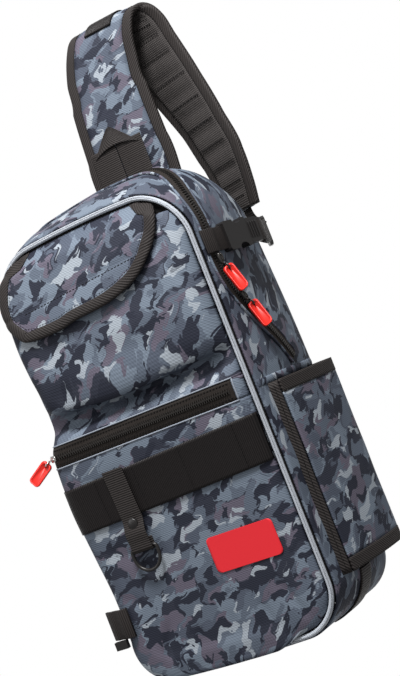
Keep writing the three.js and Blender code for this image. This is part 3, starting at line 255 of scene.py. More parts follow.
def outline(inset, spacing):
    """Points round the plain outline with their outward normals, anticlockwise from the lower left corner."""
    half, low, high = WIDTH / 2, BOTTOM_RADIUS, HEIGHT - TOP_RADIUS
    points = []

    def corner(cx, cz, radius, start):
        steps = max(4, round(radius * math.pi / 2 / spacing))
        for i in range(steps + 1):
            angle = math.radians(start + 90 * i / steps)
            nx, nz = math.cos(angle), math.sin(angle)
            points.append((cx + (radius - inset) * nx, cz + (radius - inset) * nz, nx, nz))

    def straight(x, z):
        x0, z0, nx, nz = points[-1]
        steps = max(2, round(math.hypot(x - x0, z - z0) / spacing))
        for share in span(0, 1, steps)[1:-1]:
            points.append((mix(x0, x, share), mix(z0, z, share), nx, nz))

    corner(-half + low, low, low, 180)
    straight(half - low, inset)
    corner(half - low, low, low, 270)
    straight(half - inset, high)
    corner(half - TOP_RADIUS, high, TOP_RADIUS, 0)
    straight(-half + TOP_RADIUS, HEIGHT - inset)
    corner(-half + TOP_RADIUS, high, TOP_RADIUS, 90)
    straight(-half + inset, low)
    return points


def crown(x, nx, nz, back_share):
    """How far the gusset bulges out; its top does so less towards the left."""
    left_share = max(-x / (WIDTH / 2), 0)
    top = TOP_CROWN * (1 - LEFT_FLAT * left_share) * nz**2 if nz > 0 else 0
    return (SIDE_CROWN * nx**2 + top) * (1 - back_share**2)


def gusset_point(plain, back_share, offset=0.0):
    x, z, nx, nz = plain
    bent_x, bent_z = warp(x, z, (back_share + 1) / 2)
    out = crown(x, nx, nz, back_share) + offset
    return Vector((bent_x + out * nx, back_share * GUSSET_HALF, bent_z + out * nz))


def along_gusset(distance, y, offset):
    """A point over the gusset at a distance round the outline from the top's middle."""
    reach = abs(distance)
    flat = WIDTH / 2 - TOP_RADIUS
    side_start = flat + TOP_RADIUS * math.pi / 2
    low_start = side_start + HEIGHT - TOP_RADIUS - BOTTOM_RADIUS
    if reach < flat:
        plain = (reach, HEIGHT, 0, 1)
    elif reach < side_start:
        angle = (reach - flat) / TOP_RADIUS
        nx, nz = math.sin(angle), math.cos(angle)
        plain = (flat + TOP_RADIUS * nx, HEIGHT - TOP_RADIUS * (1 - nz), nx, nz)
    elif reach < low_start:
        plain = (WIDTH / 2, HEIGHT - TOP_RADIUS - (reach - side_start), 1, 0)
    else:
        angle = (reach - low_start) / BOTTOM_RADIUS
        nx, nz = math.cos(angle), -math.sin(angle)
        plain = (WIDTH / 2 - BOTTOM_RADIUS * (1 - nx), BOTTOM_RADIUS * (1 + nz), nx, nz)
    side = -1 if distance < 0 else 1
    return gusset_point((side * plain[0], plain[1], side * plain[2], plain[3]), y / GUSSET_HALF, offset)


def side_distance(z):
    return WIDTH / 2 - TOP_RADIUS + TOP_RADIUS * math.pi / 2 + HEIGHT - TOP_RADIUS - z


def side_x(y):
    back_share = y / GUSSET_HALF
    return WIDTH / 2 + crown(WIDTH / 2, 1, 0, back_share) + FLARE * (back_share + 1) / 2


def half_width(z, inset):
    half = WIDTH / 2 - inset

    def arc_cut(radius, reach):
        return radius - math.sqrt(max(radius**2 - reach**2, 0))

    if z < BOTTOM_RADIUS:
        return half - arc_cut(BOTTOM_RADIUS - inset, BOTTOM_RADIUS - z)
    if z > HEIGHT - TOP_RADIUS:
        return half - arc_cut(TOP_RADIUS - inset, z - HEIGHT + TOP_RADIUS)
    return half


# Folds in the front cloth: from and to in x and z, width across the fold and height, all in mm; dips are
# negative
FRONT_FOLDS = [
    (-112, 292, -58, 305, 5, -4.5), (-100, 281, -60, 292, 4, -2.5), (-108, 318, -70, 322, 7, -2.5),
    (112, 299, 46, 307, 4, -5.0), (108, 294, 30, 279, 5, 3.2), (112, 286, 60, 276, 3, -2.6),
    (20, 286, -70, 274, 4, 2.4), (-30, 283, -98, 276, 3, -2.0), (60, 318, 108, 312, 6, -2.0),
    (-60, 330, 40, 322, 10, 2.2), (-20, 352, 70, 362, 14, 1.6), (-96, 352, -60, 366, 9, -1.6),
    (112, 345, 96, 392, 6, -1.8), (88, 400, 84, 440, 5, -1.8), (-112, 244, -96, 238, 4, -1.6),
    (-108, 150, -70, 128, 9, -1.6), (96, 150, 112, 170, 6, -1.5), (-84, 20, -70, 52, 5, -2.0),
    (-40, 12, -34, 40, 5, -1.6), (6, 10, 8, 44, 6, -1.8), (52, 12, 46, 46, 5, -1.8),
    (88, 22, 72, 60, 5, -2.0), (-112, 96, -92, 84, 6, -1.5), (-100, 262, -20, 266, 3, -0.8),
]


def fold_height(x, z):
    total = 0.0
    for x0, z0, x1, z1, width, height in FRONT_FOLDS:
        dx, dz = x1 - x0, z1 - z0
        length_squared = dx * dx + dz * dz
        along = ((x - x0) * dx + (z - z0) * dz) / length_squared
        if -0.5 < along < 1.5:
            away = abs((x - x0) * dz - (z - z0) * dx) / math.sqrt(length_squared)
            if away < 3 * width:
                ends = smoothstep((along + 0.3) / 0.6) * smoothstep((1.3 - along) / 0.6)
                total += height * hump(away, width) * ends
    return total


# The cloth stands out squarer on the left, and fuller towards its left edge
LEFT_MORE = 0.3
LEFT_POWER = 12
RIGHT_POWER = 8

# Beside the left and lower seams the front cloth reaches over the piping
REACH_SIDE = POCKET_INSET + 2
REACH_CORNER = 4
REACH_UNTIL = 40
REACH_FADE = 35
OVER_SEAM = DEPTH / 2 - FRONT_BASE + CLEARANCE


def reach_over(x, z):
    """How a place of the front cloth moves out over the seam, in x and z, and the share of its way there."""
    flat = WIDTH / 2 - BOTTOM_RADIUS
    sideways = x - clamp(x, -flat, flat)
    down = min(z - BOTTOM_RADIUS, 0)
    away = math.hypot(sideways, down)
    if away == 0:
        return 0.0, 0.0, 0.0
    here = 1 - smoothstep((x - REACH_UNTIL) / REACH_FADE)
    share = min(away / (BOTTOM_RADIUS - POCKET_INSET), 1) ** 2 * here
    corner_share = 2 * abs(sideways * down) / away**2
    reach = share * (REACH_SIDE + REACH_CORNER * corner_share)
    return sideways / away * reach, down / away * reach, share


def front_bulge(x, z):
    """How far the front cloth stands out at a place, and the place's share of the half width."""
    out = table_value(FRONT_SECTIONS, z / HEIGHT) * POCKET_DEPTH
    share = min(abs(x) / max(half_width(z, POCKET_INSET), 1), 1)
    more = 1 + LEFT_MORE * share**2 if x < 0 else 1
    bulge = out * more * math.sqrt(1 - share ** (LEFT_POWER if x < 0 else RIGHT_POWER))
    over = OVER_SEAM * smoothstep((reach_over(x, z)[2] - 0.1) / 0.3)
    return math.hypot(bulge, over), share


def front_place(x, z, standing):
    """A place of the front that stands so far off the flat front panel."""
    reach_x, reach_z, _ = reach_over(x, z)
    bent_x, bent_z = warp(x, z, 0)
    return Vector((bent_x + reach_x, -(FRONT_BASE + CLEARANCE + standing), bent_z + reach_z))


# Above the crease the upper pocket hangs over it: how far down, at which height, and over how much of it;
# how far it stands out there, and how much deeper the crease is drawn in
OVERHANG = 17
OVERHANG_HEIGHT = 313
OVERHANG_SPAN = 12
OVERHANG_LIP = 5
CREASE_HEIGHT = 291
CREASE_DEPTH = 4.5
CREASE_SPAN = 9


def on_front(x, z, layer):
    bulge, share = front_bulge(x, z)
    free = 1 - share**8
    middle = free * (0.5 + 0.5 * hump(x + 10, 75))
    over = hump(z - OVERHANG_HEIGHT, OVERHANG_SPAN) * middle
    drawn_in = CREASE_DEPTH * hump(z - CREASE_HEIGHT, CREASE_SPAN) * middle
    standing = CLOTH + bulge + OVERHANG_LIP * over - drawn_in + fold_height(x, z) * free + layer
    point = front_place(x, z, standing)
    point.z -= OVERHANG * over
    return point


# Materials

LIGHT_GAIN = 0.72


def tone(red, green, blue, gain=LIGHT_GAIN):
    """A colour as it looks in the photo, as the linear base colour under this scene's light."""
    def linear(value):
        share = value / 255
        return share / 12.92 if share <= 0.04045 else ((share + 0.055) / 1.055) ** 2.4

    return tuple(linear(value) * gain for value in (red, green, blue)) + (1.0,)


def add_node(tree, kind, settings=None, inputs=None):
    node = tree.nodes.new(kind)
    for key, value in (settings or {}).items():
        setattr(node, key, value)
    for key, value in (inputs or {}).items():
        if isinstance(value, bpy.types.NodeSocket):
            tree.links.new(value, node.inputs[key])
        else:
            node.inputs[key].default_value = value
    return node


def new_material(name, colour, roughness, metallic=0.0, specular=0.12):
    material = bpy.data.materials.new(name)
    material.use_nodes = True
    shader = material.node_tree.nodes["Principled BSDF"]
    shader.inputs["Base Color"].default_value = colour
    shader.inputs["Roughness"].default_value = roughness
    shader.inputs["Metallic"].default_value = metallic
    shader.inputs["Specular IOR Level"].default_value = specular
    material.diffuse_color = colour
    return material, material.node_tree, shader


def plain_material(name, colour, roughness, metallic=0.0, specular=0.12):
    return new_material(name, colour, roughness, metallic, specular)[0]


def uv_of(tree, turn=0.0):
    source = add_node(tree, "ShaderNodeUVMap", {"uv_map": "fabric"})
    inputs = {"Vector": source.outputs[0], "Rotation": (0, 0, turn)}
    return add_node(tree, "ShaderNodeMapping", None, inputs).outputs[0]


def bands(tree, vector, period, direction="X"):
    """Stripes across the vector's direction with this period in mm, from 0 to 1."""
    scale = math.pi / 10 / period
    settings = {"wave_type": "BANDS", "bands_direction": direction}
    return add_node(tree, "ShaderNodeTexWave", settings, {"Vector": vector, "Scale": scale}).outputs["Fac"]


def scaled(tree, value, low, high):
    node = add_node(tree, "ShaderNodeMapRange", None, {"Value": value, "To Min": low, "To Max": high})
    return node.outputs[0]


def maths(tree, operation, a, b):
    return add_node(tree, "ShaderNodeMath", {"operation": operation}, {0: a, 1: b}).outputs[0]


def blend_colour(tree, share, a, b, blend="MIX"):
    settings = {"data_type": "RGBA", "blend_type": blend}
    return add_node(tree, "ShaderNodeMix", settings, {0: share, 6: a, 7: b}).outputs[2]


def grey(tree, value):
    return add_node(tree, "ShaderNodeCombineColor", None, {0: value, 1: value, 2: value}).outputs[0]


def shade_colour(tree, shader, colour, value):
    """The colour times a shade, as the shader's base colour."""
    shaded = blend_colour(tree, 1.0, colour, grey(tree, value), "MULTIPLY")
    tree.links.new(shaded, shader.inputs["Base Color"])


def bump(tree, shader, height, distance, strength=1.0):
    inputs = {"Height": height, "Distance": distance, "Strength": strength}
    tree.links.new(add_node(tree, "ShaderNodeBump", None, inputs).outputs[0], shader.inputs["Normal"])


def shifted(tree, vector, offset):
    return add_node(tree, "ShaderNodeVectorMath", {"operation": "ADD"}, {0: vector, 1: offset}).outputs[0]


def patches(tree, vector, scale, offset, threshold):
    """Patches with crisp edges, 1 where the noise is over the threshold."""
    moved = shifted(tree, vector, offset)
    inputs = {"Vector": moved, "Scale": scale, "Detail": 1.5, "Roughness": 0.45}
    field = add_node(tree, "ShaderNodeTexNoise", {"noise_dimensions": "2D"}, inputs).outputs["Fac"]
    inputs = {"Value": field, "From Min": threshold - PATCH_EDGE, "From Max": threshold + PATCH_EDGE}
    return add_node(tree, "ShaderNodeMapRange", None, inputs).outputs[0]


# The camouflage's patches, from the bottom layer up: colour, scale in 1/mm, offset, and the noise level
# over which they show
CAMO_BASE = (84, 91, 105)
CAMO_LAYERS = [
    ((52, 55, 67), 0.034, (0, 0, 0), 0.505),
    ((101, 96, 110), 0.040, (-220, 330, 0), 0.55),
    ((116, 127, 141), 0.038, (310, 70, 0), 0.555),
    ((45, 48, 60), 0.056, (150, -410, 0), 0.575),
    ((96, 105, 119), 0.062, (-90, 610, 0), 0.60),
    ((160, 168, 177), 0.056, (730, -150, 0), 0.66),
]
PATCH_EDGE = 0.006

# The patches lie aslant and are longer than wide; noise of two scales in 1/mm moves their edges by so many mm
CAMO_TURN = math.radians(-25)
CAMO_SQUEEZE = 1.6
CAMO_TEARS = ((0.06, 9.0), (0.2, 4.0))


def torn(tree, vector):
    """The vector pushed about by two sizes of noise, for ragged edges."""
    for scale, reach in CAMO_TEARS:
        inputs = {"Vector": vector, "Scale": scale, "Detail": 1.0}
        ragged = add_node(tree, "ShaderNodeTexNoise", {"noise_dimensions": "2D"}, inputs).outputs["Color"]
        centred = shifted(tree, ragged, (-0.5, -0.5, -0.5))
        inputs = {0: centred, "Scale": reach * 2}
        shift = add_node(tree, "ShaderNodeVectorMath", {"operation": "SCALE"}, inputs).outputs[0]
        vector = shifted(tree, vector, shift)
    return vector


def camo_material():
    material, tree, shader = new_material("camo_weave", tone(*CAMO_BASE), 0.62)
    inputs = {"Vector": uv_of(tree, turn=CAMO_TURN), "Scale": (1 / CAMO_SQUEEZE, 1, 1)}
    pattern = torn(tree, add_node(tree, "ShaderNodeMapping", None, inputs).outputs[0])
    colour = tone(*CAMO_BASE)
    for patch, scale, offset, threshold in CAMO_LAYERS:
        colour = blend_colour(tree, patches(tree, pattern, scale, offset, threshold), colour, tone(*patch))
    slanted = maths(tree, "MULTIPLY", bands(tree, uv_of(tree), 1.7, "DIAGONAL"), 0.6)
    upright = maths(tree, "MULTIPLY", bands(tree, uv_of(tree, turn=math.pi / 2), 2.1), 0.4)
    weave = maths(tree, "ADD", slanted, upright)
    shade_colour(tree, shader, colour, scaled(tree, weave, 0.84, 1.14))
    bump(tree, shader, weave, 0.00035, 0.5)
    return material


def ribbed_material(name, colour, period, direction, contrast, roughness=0.6):
    material, tree, shader = new_material(name, tone(*colour), roughness)
    ribs = bands(tree, uv_of(tree), period, direction)
    shade_colour(tree, shader, tone(*colour), scaled(tree, ribs, 1 - contrast, 1 + contrast))
    bump(tree, shader, ribs, 0.0005, 0.8)
    return material


MESH_COLOUR = (74, 70, 69)
MESH_PERIOD = 2.4


def mesh_material():
    material, tree, shader = new_material("air_mesh_weave", tone(*MESH_COLOUR), 0.7)
    across, along = (bands(tree, uv_of(tree, turn), MESH_PERIOD) for turn in (0, math.pi / 2))
    holes = maths(tree, "MULTIPLY", across, along)
    shade_colour(tree, shader, tone(*MESH_COLOUR), scaled(tree, holes, 0.5, 1.6))
    bump(tree, shader, holes, 0.0008, 0.8)
    return material


# The looks: a material and its slot
CAMO = camo_material(), "camo"
BINDING = ribbed_material("binding_twill", (52, 48, 47), 1.9, "DIAGONAL", 0.35), "binding"
ZIP_CLOTH = ribbed_material("zip_tape", (48, 43, 40), 1.4, "X", 0.2), "binding"
WEB_ACROSS = ribbed_material("webbing_ribs", (50, 46, 45), 2.3, "Y", 0.5, roughness=0.5), "webbing"
WEB_BAND = ribbed_material("band_ribs", (34, 31, 31), 1.9, "X", 0.45, roughness=0.4), "webbing"
MESH = mesh_material(), "air_mesh"
PIPING = ribbed_material("piping_cord", (205, 211, 220), 1.2, "X", 0.04, roughness=0.45), "piping"
FOLD_EDGE = plain_material("fold_edge", tone(150, 157, 168), 0.6), "piping"
THREAD = plain_material("thread", tone(24, 23, 24), 0.7), "binding"
PLASTIC = plain_material("moulded_plastic", tone(34, 32, 32), 0.36, specular=0.35), "black_plastic"
SNAP = PLASTIC[0], "dark_metal"
TEETH = plain_material("zip_teeth", tone(44, 41, 39), 0.4, specular=0.3), "black_plastic"
METAL = plain_material("gunmetal", tone(90, 88, 86), 0.3, 0.9, specular=0.5), "dark_metal"
SILVER = plain_material("bright_metal", tone(205, 203, 200, 0.9), 0.22, 1.0, specular=0.5), "dark_metal"
RED = plain_material("red_rubber", tone(236, 44, 34, 0.75), 0.38, specular=0.3), "red_rubber"
LABEL_RED = plain_material("red_label", tone(236, 44, 54, 0.75), 0.5, specular=0.25), "red_rubber"
LINING = plain_material("dark_lining", tone(34, 33, 34), 0.8)


# Mesh builders

def finish_piece(name, vertices, faces, uvs, look, node=None, body="bag"):
    """A piece stands for the CAD node that its name starts with, unless another or an empty name is given."""
    material, slot = look
    mesh = bpy.data.meshes.new(name)
    mesh.from_pydata([row(v) for v in vertices], [], faces)
    layer = mesh.uv_layers.new(name="fabric")
    for loop in mesh.loops:
        layer.data[loop.index].uv = uvs[loop.vertex_index]
    mesh.polygons.foreach_set("use_smooth", [True] * len(mesh.polygons))
    mesh.materials.append(material)
    mesh.update()
    obj = bpy.data.objects.new(name, mesh)
    bpy.context.scene.collection.objects.link(obj)
    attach(obj, body)
    if node is None:
        node = name.rpartition("_")[0]
    if node:
        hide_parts(node)
    return obj


def sheet(name, rows, columns, place, flat, look, thickness, wraps=False, flip=False):
    """A sheet of cloth on a grid of (row, column) values; its thickness goes to the inner side."""
    vertices = [place(r, c) for r in rows for c in columns]
    uvs = [flat(r, c) for r in rows for c in columns]
    count = len(columns)
    faces = []
    for i in range(len(rows) - 1):
        for j in range(count if wraps else count - 1):
            a, b = i * count + j, i * count + (j + 1) % count
            quad = (a, b, b + count, a + count)
            faces.append(quad[::-1] if flip else quad)
    obj = finish_piece(name, vertices, faces, uvs, look)
    shell = obj.modifiers.new("thickness", "SOLIDIFY")
    shell.thickness = thickness * MM
    shell.offset = -1
    return obj


def loft(name, sections, look, node=None, closed=False, body="bag", lengths=None):
    """Equal closed sections joined into one body, capped at both ends or closed into a ring."""
    count = len(sections[0])
    vertices = [p for section in sections for p in section]
    if lengths is None:
        lengths = path_lengths([sum(section, Vector()) / count for section in sections])
    uvs = []
    for section, length in zip(sections, lengths):
        reach = 0.0
        for k, point in enumerate(section):
            reach += (point - section[k - 1]).length if k else 0.0
            uvs.append((reach, length))
    faces = []
    for i in range(len(sections) if closed else len(sections) - 1):
        a, b = i * count, ((i + 1) % len(sections)) * count
        for k in range(count):
            following = (k + 1) % count
            faces.append((a + k, a + following, b + following, b + k))
    if not closed:
        faces.append(tuple(reversed(range(count))))
        last = (len(sections) - 1) * count
        faces.append(tuple(last + k for k in range(count)))
    obj = finish_piece(name, vertices, faces, uvs, look, node, body)
    mesh = obj.data
    if signed_volume(mesh) < 0:
        mesh.flip_normals()
    return obj


def signed_volume(mesh):
    mesh.calc_loop_triangles()
    total = 0.0
    for triangle in mesh.loop_triangles:
        a, b, c = (mesh.vertices[i].co for i in triangle.vertices)
        total += a.dot(b.cross(c))
    return total


def rounded(width, thickness, radius, steps=3):
    """A rounded rectangle as (across, out) pairs round its edge."""
    radius = min(radius, thickness / 2 - 0.01, width / 2 - 0.01)
    pairs = []
    for sx, sy, start in ((1, 1, 0), (-1, 1, 90), (-1, -1, 180), (1, -1, 270)):
        cx, cy = sx * (width / 2 - radius), sy * (thickness / 2 - radius)
        for i in range(steps + 1):
            angle = math.radians(start + 90 * i / steps)
            pairs.append((cx + radius * math.cos(angle), cy + radius * math.sin(angle)))
    return pairs


def tangents(points, closed=False):
    count = len(points)
    result = []
    for i in range(count):
        before = points[i - 1] if closed or i else points[0]
        after = points[(i + 1) % count] if closed or i + 1 < count else points[-1]
        result.append((after - before).normalized())
    return result


WEB_EDGE = 0.8


def ribbon(name, points, sides, width=WEBBING, thickness=WEBBING_THICKNESS):
    """Webbing along a path: sides are the directions of its width, one for all or one each."""
    if isinstance(sides, Vector):
        sides = [sides] * len(points)
    sections = []
    for point, side, tangent in zip(points, sides, tangents(points)):
        side = square_to(side, tangent)
        normal = side.cross(tangent)
        sections.append([point + side * a + normal * o for a, o in rounded(width, thickness, WEB_EDGE)])
    loft(name, sections, WEB_ACROSS)


def tube(name, points, radius, look, node=None, closed=False, body="bag", sides=12):
    sections = []
    reference = None
    for point, tangent in zip(points, tangents(points, closed)):
        reference = square_to(reference or tangent.orthogonal(), tangent)
        other = tangent.cross(reference)
        turn = full_turn(sides)
        sections.append([point + (reference * math.cos(a) + other * math.sin(a)) * radius for a in turn])
    loft(name, sections, look, node, closed, body)


def smooth_path(points, steps):
    return [curve_point(points, share) for share in span(0, 1, steps)]


BLOCK_TAPER = 0.25


def boxes(name, frames, size, look, node=""):
    """Many equal small blocks in one mesh, each at a matrix, with their outer faces drawn in a little."""
    a, b, c = (value / 2 for value in size)
    vertices, faces, uvs = [], [], []
    corners = [
        (sx * a, sy * b, sz * c) for sz in (-1, 1) for sx, sy in ((-1, -1), (1, -1), (1, 1), (-1, 1))
    ]
    for matrix in frames:
        base = len(vertices)
        for x, y, z in corners:
            if z > 0:
                x, y = x * (1 - BLOCK_TAPER), y * (1 - BLOCK_TAPER)
            vertices.append(matrix @ Vector((x, y, z)))
            uvs.append((x, y))
        for quad in ((3, 2, 1, 0), (4, 5, 6, 7), (0, 1, 5, 4), (1, 2, 6, 5), (2, 3, 7, 6), (3, 0, 4, 7)):
            faces.append(tuple(base + k for k in quad))
    obj = finish_piece(name, vertices, faces, uvs, look, node)
    obj.data.polygons.foreach_set("use_smooth", [False] * len(obj.data.polygons))


def basis(x, y, z, origin):
    matrix = Matrix((x, y, z)).transposed().to_4x4()
    matrix.translation = origin
    return matrix


SIDEWARD = Vector((1, 0, 0))
FRONTWARD = Vector((0, -1, 0))
UPWARD = Vector((0, 0, 1))


def stitches(name, points, normals=FRONTWARD, pitch=3.6, length=2.4, size=0.7):
    """A dashed line of thread along a path; normals are one for all points or one each."""
    if isinstance(normals, Vector):
        normals = [normals] * len(points)
    frames = []
    for i, point, along in marks(points, pitch / 2, pitch):
        out = square_to(normals[i], along)
        frames.append(basis(along, out.cross(along), out, point))
    boxes(name, frames, (length, size, size), THREAD)


def dress_node(node, material, bevel=0.0):
    """A CAD node that stays: its material, and softened edges."""
    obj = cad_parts[node]
    obj.data.materials.clear()
    obj.data.materials.append(material)
    if bevel:
        edge = obj.modifiers.new("edges", "BEVEL")
        edge.width = bevel * MM
        edge.segments = 2
        edge.limit_method = "ANGLE"
        edge.angle_limit = math.radians(35)


# The body

def build_gusset():
    ring = outline(0, 4.0)
    lengths = path_lengths([Vector((x, z)) for x, z, _, _ in ring])
    columns = list(range(len(ring)))

    def place(share, j):
        plain = ring[j]
        spot = Vector((plain[0], share * GUSSET_HALF, plain[1]))
        wave = noise.noise(spot * 0.022 + Vector((7, 1, 3))) * 2.2 + noise.noise(spot * 0.06) * 0.7
        return gusset_point(plain, share, (wave * 0.6 - 0.4) * (1 - share**4))

    def flat(share, j):
        return lengths[j] + 700, share * GUSSET_HALF

    sheet("gusset_cloth", span(-1, 1, 28), columns, place, flat, CAMO, CLOTH, wraps=True)


def build_piping(side, name):
    y = side * (DEPTH / 2 - PIPING_RADIUS)
    points = []
    for x, z, _, _ in outline(PIPING_RADIUS, 4.0):
        bent_x, bent_z = warp(x, z, 0 if side < 0 else 1)
        points.append(Vector((bent_x, y, bent_z)))
    tube(f"{name}_cord", points, PIPING_RADIUS, PIPING, closed=True)


def pocket_cloth(name, low, high, rows):
    def place(z, share):
        return on_front(share * half_width(z, POCKET_INSET), z, 0)

    def flat(z, share):
        return share * POCKET_HALF, z

    stations = [math.sin(math.pi / 2 * s) * 0.5 + s * 0.5 for s in span(-1, 1, 110)]
    sheet(name, span(low, high, rows), stations, place, flat, CAMO, CLOTH)


def front_strip(name, heights, ends, layer, thickness, look, tilt=0.0, columns=90, rows=8):
    """A strip that lies on the front cloth, from one height to another."""
    def place(z, x):
        height = z + tilt * x / WIDTH
        half = half_width(height, POCKET_INSET)
        return on_front(clamp(x, -half, half), height, layer + thickness)

    def flat(z, x):
        return x, z

    sheet(name, span(*heights, rows), span(*ends, columns), place, flat, look, thickness)


# The pocket zipper's teeth: size, distance between them, shift from the middle, and height over the cloth
POCKET_TOOTH = (1.1, 4.4, 2.0)
POCKET_PITCH = 1.25
POCKET_TOOTH_SHIFT = 1.25
POCKET_TOOTH_SEAT = 0.7
SLIDER_LENGTH = 11


def build_front():
    low, high = ZIP_HEIGHT - ZIP_TAPE / 2, ZIP_HEIGHT + ZIP_TAPE / 2
    pocket_cloth("lower_pocket_cloth", POCKET_INSET, low - CLEARANCE, 96)
    pocket_cloth("upper_pocket_cloth", high + CLEARANCE, FLAP_TOP - FLAP_TUCK, 110)
    ends = -POCKET_HALF, ZIP_END
    front_strip("pocket_zip_tape_cloth", (low, high), ends, TAPE_SUNK, TAPE_THICKNESS, ZIP_CLOTH)
    ends = ZIP_END + CLEARANCE, POCKET_HALF
    front_strip("pocket_zip_end_cloth", (low, high), ends, -CLOTH, CLOTH, CAMO, columns=6)
    for name, z in (("low", low - 0.8), ("high", high + 0.8)):
        points = [on_front(x, z, 0.2) for x in span(-POCKET_HALF + 1, ZIP_END + 2, 80)]
        tube(f"pocket_zip_fold_{name}", points, 0.75, FOLD_EDGE, "", sides=8)
    end_points = [on_front(ZIP_END + 1.5, z, 0.2) for z in span(low, high, 8)]
    tube("pocket_zip_fold_end", end_points, 0.7, FOLD_EDGE, "", sides=8)
    for name, z in (("low", low + 3.4), ("high", high - 3.4)):
        points = [on_front(x, z, 0.1) for x in span(-POCKET_HALF + 4, ZIP_END - 2, 80)]
        stitches(f"pocket_zip_stitch_{name}", points)
    teeth = []
    x = -POCKET_HALF + SLIDER_LENGTH
    shift = POCKET_TOOTH_SHIFT
    while x < ZIP_END - 4:
        point = on_front(x, ZIP_HEIGHT + shift, POCKET_TOOTH_SEAT)
        ahead, behind = (on_front(x + reach, ZIP_HEIGHT, POCKET_TOOTH_SEAT) for reach in (1, -1))
        along = (ahead - behind).normalized()
        out = along.cross(UPWARD).normalized()
        teeth.append(basis(along, out.cross(along), out, point))
        x += POCKET_PITCH
        shift = -shift
    boxes("pocket_zip_teeth", teeth, POCKET_TOOTH, TEETH, "pocket_zip_coil")


def build_band():
    low = BAND_HEIGHT - BAND_WIDTH / 2
    high = low + BAND_WIDTH
    ends = -POCKET_HALF, POCKET_HALF
    front_strip("web_band_strip", (low, high), ends, 0.4, BAND_THICKNESS, WEB_BAND, BAND_TILT, rows=16)
    for index, x in enumerate(BAND_SEAMS):
        points = [on_front(x, z + BAND_TILT * x / WIDTH, 2.5) for z in span(low + 2, high - 2, 24)]
        stitches(f"band_stitch_{index}", points)


def build_label():
    def reach(z):
        over = max(abs(z - LABEL_HEIGHT) - (LABEL_TALL / 2 - LABEL_RADIUS), 0)
        return LABEL_WIDTH / 2 - LABEL_RADIUS + math.sqrt(max(LABEL_RADIUS**2 - over**2, 0.01))

    def place(z, share):
        return on_front(LABEL_CENTRE + share * reach(z), z, CLEARANCE + LABEL_THICKNESS)

    def flat(z, share):
        return share * LABEL_WIDTH, z

    heights = [LABEL_HEIGHT + LABEL_TALL / 2 * math.sin(math.pi / 2 * s) for s in span(-1, 1, 24)]
    sheet("front_label_patch", heights, span(-1, 1, 30), place, flat, LABEL_RED, LABEL_THICKNESS)


# The flap

def flap_edge(share):
    """The flap's edge in x and z, from its top left corner (0) round the bottom to its top right (1)."""
    rows = [(left, up) for up, left, _ in reversed(FLAP_ROWS)] + [(right, up) for up, _, right in FLAP_ROWS]
    knots = [Vector((FLAP_MIDDLE + x * FLAP_HALF, 0, mix(FLAP_BOTTOM, FLAP_TOP, up))) for x, up in rows]
    return curve_point(knots, share)


FLAP_EDGE = [flap_edge(share) for share in span(0, 1, 120)]


def inset_edge(depth):
    """The flap's edge moved in; its two ends stay in the seam."""
    result = []
    for point, tangent in zip(FLAP_EDGE, tangents(FLAP_EDGE)):
        result.append((point.x - depth * tangent.z, point.z + depth * tangent.x))
    result[0] = (FLAP_EDGE[0].x + depth, FLAP_EDGE[0].z)
    result[-1] = (FLAP_EDGE[-1].x - depth, FLAP_EDGE[-1].z)
    return result


def flap_puff(x, z):
    across = clamp(abs(x - FLAP_MIDDLE) / FLAP_HALF)
    up = clamp((z - FLAP_BOTTOM) / (FLAP_TOP - FLAP_BOTTOM))
    seam = 0.9 * hump(z - FLAP_SEAM - 2 - FLAP_SEAM_SLOPE * x, 2.5)
    return 2.2 * (1 - across**2) * (1 - up) ** 0.7 - seam


def flap_point(x, z, layer):
    """A point of the flap, whose top is tucked into the seam and whose left side lies over the piping."""
    bulge, share = front_bulge(x, z)
    tucked = smoothstep((z - FLAP_TOP + FLAP_TUCK) / FLAP_TUCK)
    folds = fold_height(x, z) * (1 - share**8)
    standing = (CLOTH + bulge + folds + FLAP_LAYER + flap_puff(x, z)) * (1 - tucked)
    over_left = OVER_SEAM * smoothstep((-x - 70) / 20)
    return front_place(x, z, max(standing, over_left) + layer)


# The binding's section: distance in from the flap's edge, and height over the flap's underside
BINDING_PROFILE = [
    (0.0, 0.3), (0.4, 1.8), (1.6, 3.0), (4.0, 3.7), (8.0, 3.8), (11.0, 3.6), (12.0, 2.6), (12.0, 1.9),
    (8.0, 0.2), (3.0, 0.0),
]


def build_flap():
    inner = inset_edge(FLAP_BINDING - 2)
    half = len(inner) // 2
    left = inner[half::-1]
    right = inner[half:]
    rows = list(range(1, half + 1))

    def spot(i, share):
        (x0, z0), (x1, z1) = left[i], right[i]
        return mix(x0, x1, share), mix(z0, z1, share)

    def place(i, share):
        return flap_point(*spot(i, share), CLOTH)

    def flat(i, share):
        x, z = spot(i, share)
        return x + 260, z + 90

    cloth = sheet("flap_cloth", rows, span(0, 1, 60), place, flat, CAMO, CLOTH)
    edges = [inset_edge(depth) for depth, _ in BINDING_PROFILE]
    sections = []
    for i in range(len(FLAP_EDGE)):
        sections.append([flap_point(*edges[k][i], layer) for k, (_, layer) in enumerate(BINDING_PROFILE)])
    loft("flap_binding_tape", sections, BINDING)
    line = [flap_point(x, FLAP_SEAM + FLAP_SEAM_SLOPE * x, CLOTH + 0.1) for x in span(-86, 62, 60)]
    stitches("flap_stitch", line, pitch=4.2, length=3.0, size=0.9)
    inner_line = inset_edge(FLAP_BINDING + 1.6)
    points = [flap_point(x, z, CLOTH + 0.1) for x, z in inner_line[6:-6]]
    stitches("flap_edge_stitch", points, size=0.5)
    return cloth


# The hang tab, its snap and the ring

